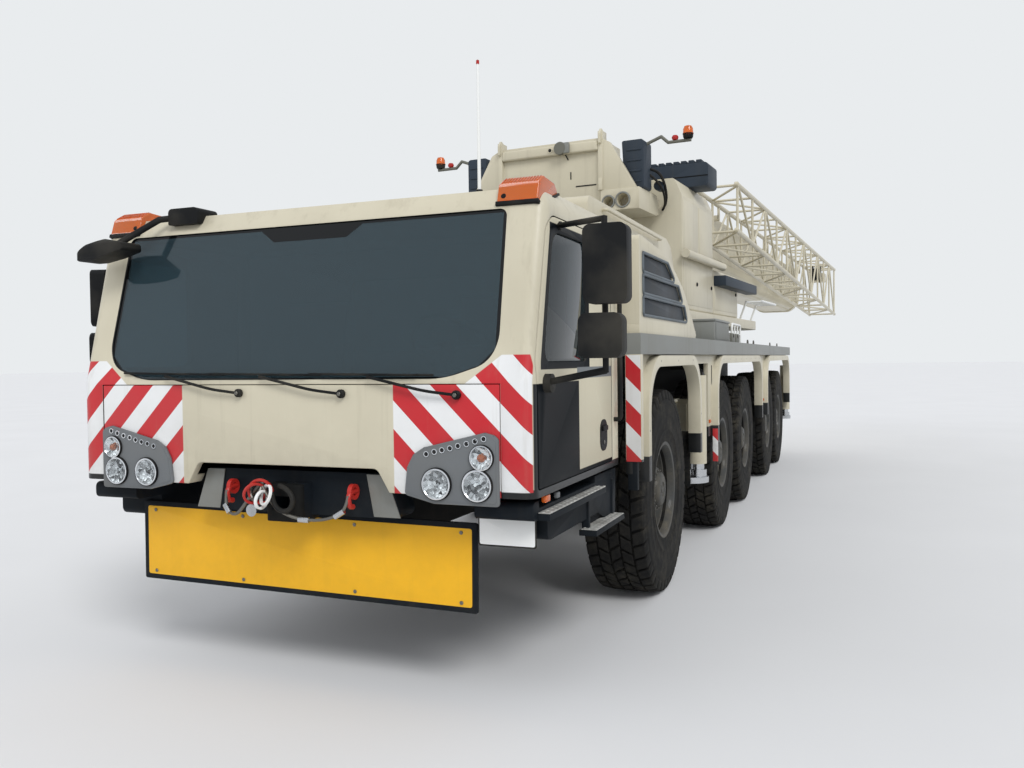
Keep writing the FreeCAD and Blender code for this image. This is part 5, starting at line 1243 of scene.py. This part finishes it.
upper_solids()
tail_fittings()
tail_beacons()
upper_fittings()
hoist_rope()
cabin_fittings()


# Boom and the lattice jib stowed beside it

def boom_fittings():
    """Weld seams along the sections, pipe clips and the hose drum."""
    parts = bars(cream_enamel, [((x, -1.2, z), (x, 9.5, z)) for x in (-0.4515, 0.4515) for z in (3.3, 3.62)],
                 0.004, 6)
    parts += tube(black_plastic, [(-0.475, -1.2, 3.78), (-0.475, 9.3, 3.78)], 0.014)
    parts += copies(block(wire_steel, (-0.492, -0.8, 3.755), (-0.448, -0.76, 3.805), 0.003),
                    [(0, 2 * index, 0) for index in range(6)])
    parts += turned(guard_enamel, [(0, 0.06), (0, 0.2), (0.012, 0.2), (0.012, 0.12), (0.088, 0.12),
                                   (0.088, 0.2),
                                   (0.1, 0.2), (0.1, 0.06)], (-0.6, 0.6, 3.62), x_way, 40)
    parts += block(cream_enamel, (-0.6, 0.56, 3.58), (-0.445, 0.64, 3.66), 0.006)
    settle(parts, "boom_fittings", "cream_paint", "boom", boom_frame)


jib_inner, jib_outer, jib_top = 0.6, 1.17, 4.03
jib_near, jib_far, jib_bays = -0.05, 10.9, 11


def jib_roof(y):
    return jib_top


def jib_floor(y):
    return 3.42 + (y - jib_near) * (2.96 - 3.42) / (jib_far - jib_near)


def lattice_jib():
    """Four round chords, posts, crossed lacing on every side and the end frames with their pin eyes."""
    walls = (jib_inner, jib_outer)
    chords = [((x, jib_near - 0.06, level(jib_near - 0.06)), (x, jib_far + 0.06, level(jib_far + 0.06)))
              for x in walls for level in (jib_roof, jib_floor)]
    stations = [jib_near + (jib_far - jib_near) * index / jib_bays for index in range(jib_bays + 1)]
    posts, lacing, spots = [], [], []
    for y in stations:
        posts += [((x, y, jib_floor(y)), (x, y, jib_top)) for x in walls]
        posts += [((jib_inner, y, z), (jib_outer, y, z)) for z in (jib_floor(y), jib_top)]
        spots += [(x, y, z) for x in walls for z in (jib_top - 0.032, jib_floor(y) + 0.032)]
    for index, (y, after) in enumerate(zip(stations, stations[1:])):
        first, last = (jib_floor, jib_roof) if index % 2 else (jib_roof, jib_floor)
        start, end = walls if index % 2 else walls[::-1]
        lacing += [((x, y + 0.03, first(y)), (x, after - 0.03, last(after))) for x in walls]
        lacing += [((start, y + 0.03, level(y)), (end, after - 0.03, level(after))) for level in (jib_roof,
                                                                                                  jib_floor)]
    parts = bars(cream_enamel, chords, 0.032, 16)
    parts += bars(cream_enamel, posts, 0.0175) + bars(cream_enamel, lacing, 0.0165)
    parts += copies(disc(cream_enamel, (-0.025, 0, 0), x_way, 0.033, 0.05, 20, 0.15),
                    [end for span in chords for end in span])
    parts += copies(block(cream_enamel, (-0.005, -0.055, -0.03), (0.005, 0.055, 0.03), 0.003, 1), spots)
    low = jib_top - 0.22
    hook = block(cream_enamel, (jib_inner - 0.034, 0, low), (jib_inner + 0.01, 0.06, low + 0.08), 0.004)
    hook += block(cream_enamel, (jib_inner - 0.014, 0, low), (jib_inner + 0.014, 0.06, jib_top), 0.004)
    parts += copies(hook, [(0, y, 0) for y in (1.3, 5.3, 9.28)])
    settle(parts, "lattice_jib", "cream_paint", "boom", boom_frame, 40, "jib")


def jib_reel():
    """Black cable drum and a small cream box on the jib's far end."""
    parts = turned(black_plastic, [(0, 0), (0, 0.2), (0.02, 0.2), (0.02, 0.14), (0.16, 0.14), (0.16, 0.2),
                                   (0.18, 0.2),
                                   (0.18, 0)], (0.8, 9.9, 3.83), x_way, 36)
    parts += block(cream_enamel, (0.72, 10.3, 3.7), (1.02, 10.62, 3.9), 0.012)
    parts += bars(cream_enamel, [((0.89, 9.9, 3.83), (0.89, 9.9, 4.02)),
                                 ((0.87, 10.46, 3.88), (0.87, 10.46, 4.02))], 0.02)
    parts += bars(cream_enamel, [((0.6, y, 4.02), (1.17, y, 4.02)) for y in (9.9, 10.46)], 0.018)
    settle(parts, "jib_reel", "mirror_black", "boom", boom_frame)


for section, body in (("boom_base", "boom"), ("boom_second",) * 2, ("boom_third",) * 2, ("boom_top",) * 2):
    from_solid(section, section + "_section", "cream_paint", cream_enamel, body=body)
boom_fittings()
lattice_jib()
jib_reel()


# Stage, light and camera

def studio():
    bpy.ops.mesh.primitive_plane_add(size=400, location=(0, 0, 0))
    floor = bpy.context.object
    floor.name = "floor"
    material, add, place = new_finish("pale_floor")
    grain = add("TexNoise", {"Vector": add("TexCoord").outputs["Object"], "Scale": 0.6})
    tone = add("MapRange", [grain, 0.3, 0.7, 0.7, 0.72])
    surface(material, {"Base Color": add("CombineColor", [tone] * 3), "Roughness": 0.9})
    floor.data.materials.append(material)
    world = bpy.data.worlds.new("studio")
    bpy.context.scene.world = world
    world.use_nodes = True
    world.node_tree.nodes.clear()
    add = partial(node, world)
    rays = add("LightPath").outputs
    shown = add("Math", [rays["Is Camera Ray"], rays["Is Transmission Ray"]], operation="MAXIMUM")
    light = add("Background", [(0.92, 0.95, 1, 1), 0.75])
    backdrop = add("Background", [linear("#e9ecee"), 1])
    add("OutputWorld", [add("MixShader", [shown, light, backdrop])])
    for name, energy, angle, tilt, turn in (("key", 1.55, 22, 48, 42), ("fill", 0.6, 60, 62, -60)):
        lamp = bpy.data.lights.new(name, "SUN")
        lamp.energy = energy
        lamp.angle = math.radians(angle)
        holder = bpy.data.objects.new(name, lamp)
        holder.rotation_euler = (math.radians(tilt), 0, math.radians(turn))
        holder.visible_glossy = name == "key"
        bpy.context.scene.collection.objects.link(holder)


def camera():
    """Stands where the photograph was taken, with its angle of view."""
    yaw, pitch, roll = 0.381803, -0.026440, -0.013587
    ahead = Vector((-math.sin(yaw) * math.cos(pitch), math.cos(yaw) * math.cos(pitch), math.sin(pitch)))
    level = Vector((math.cos(yaw), math.sin(yaw), 0))
    upright = level.cross(ahead)
    right = level * math.cos(roll) + upright * math.sin(roll)
    up = upright * math.cos(roll) - level * math.sin(roll)
    turn = Matrix((right, up, -ahead)).transposed().to_4x4()
    eye = bpy.data.cameras.new("eye")
    eye.sensor_width = 36
    eye.lens = 896.04 * 36 / 1024
    eye.clip_end = 500
    holder = bpy.data.objects.new("eye", eye)
    holder.matrix_world = carrier_frame @ Matrix.Translation((2.80591, -3.82143, 1.71065)) @ turn
    bpy.context.scene.collection.objects.link(holder)
    bpy.context.scene.camera = holder


studio()
camera()
bpy.context.scene.view_settings.view_transform = "Standard"
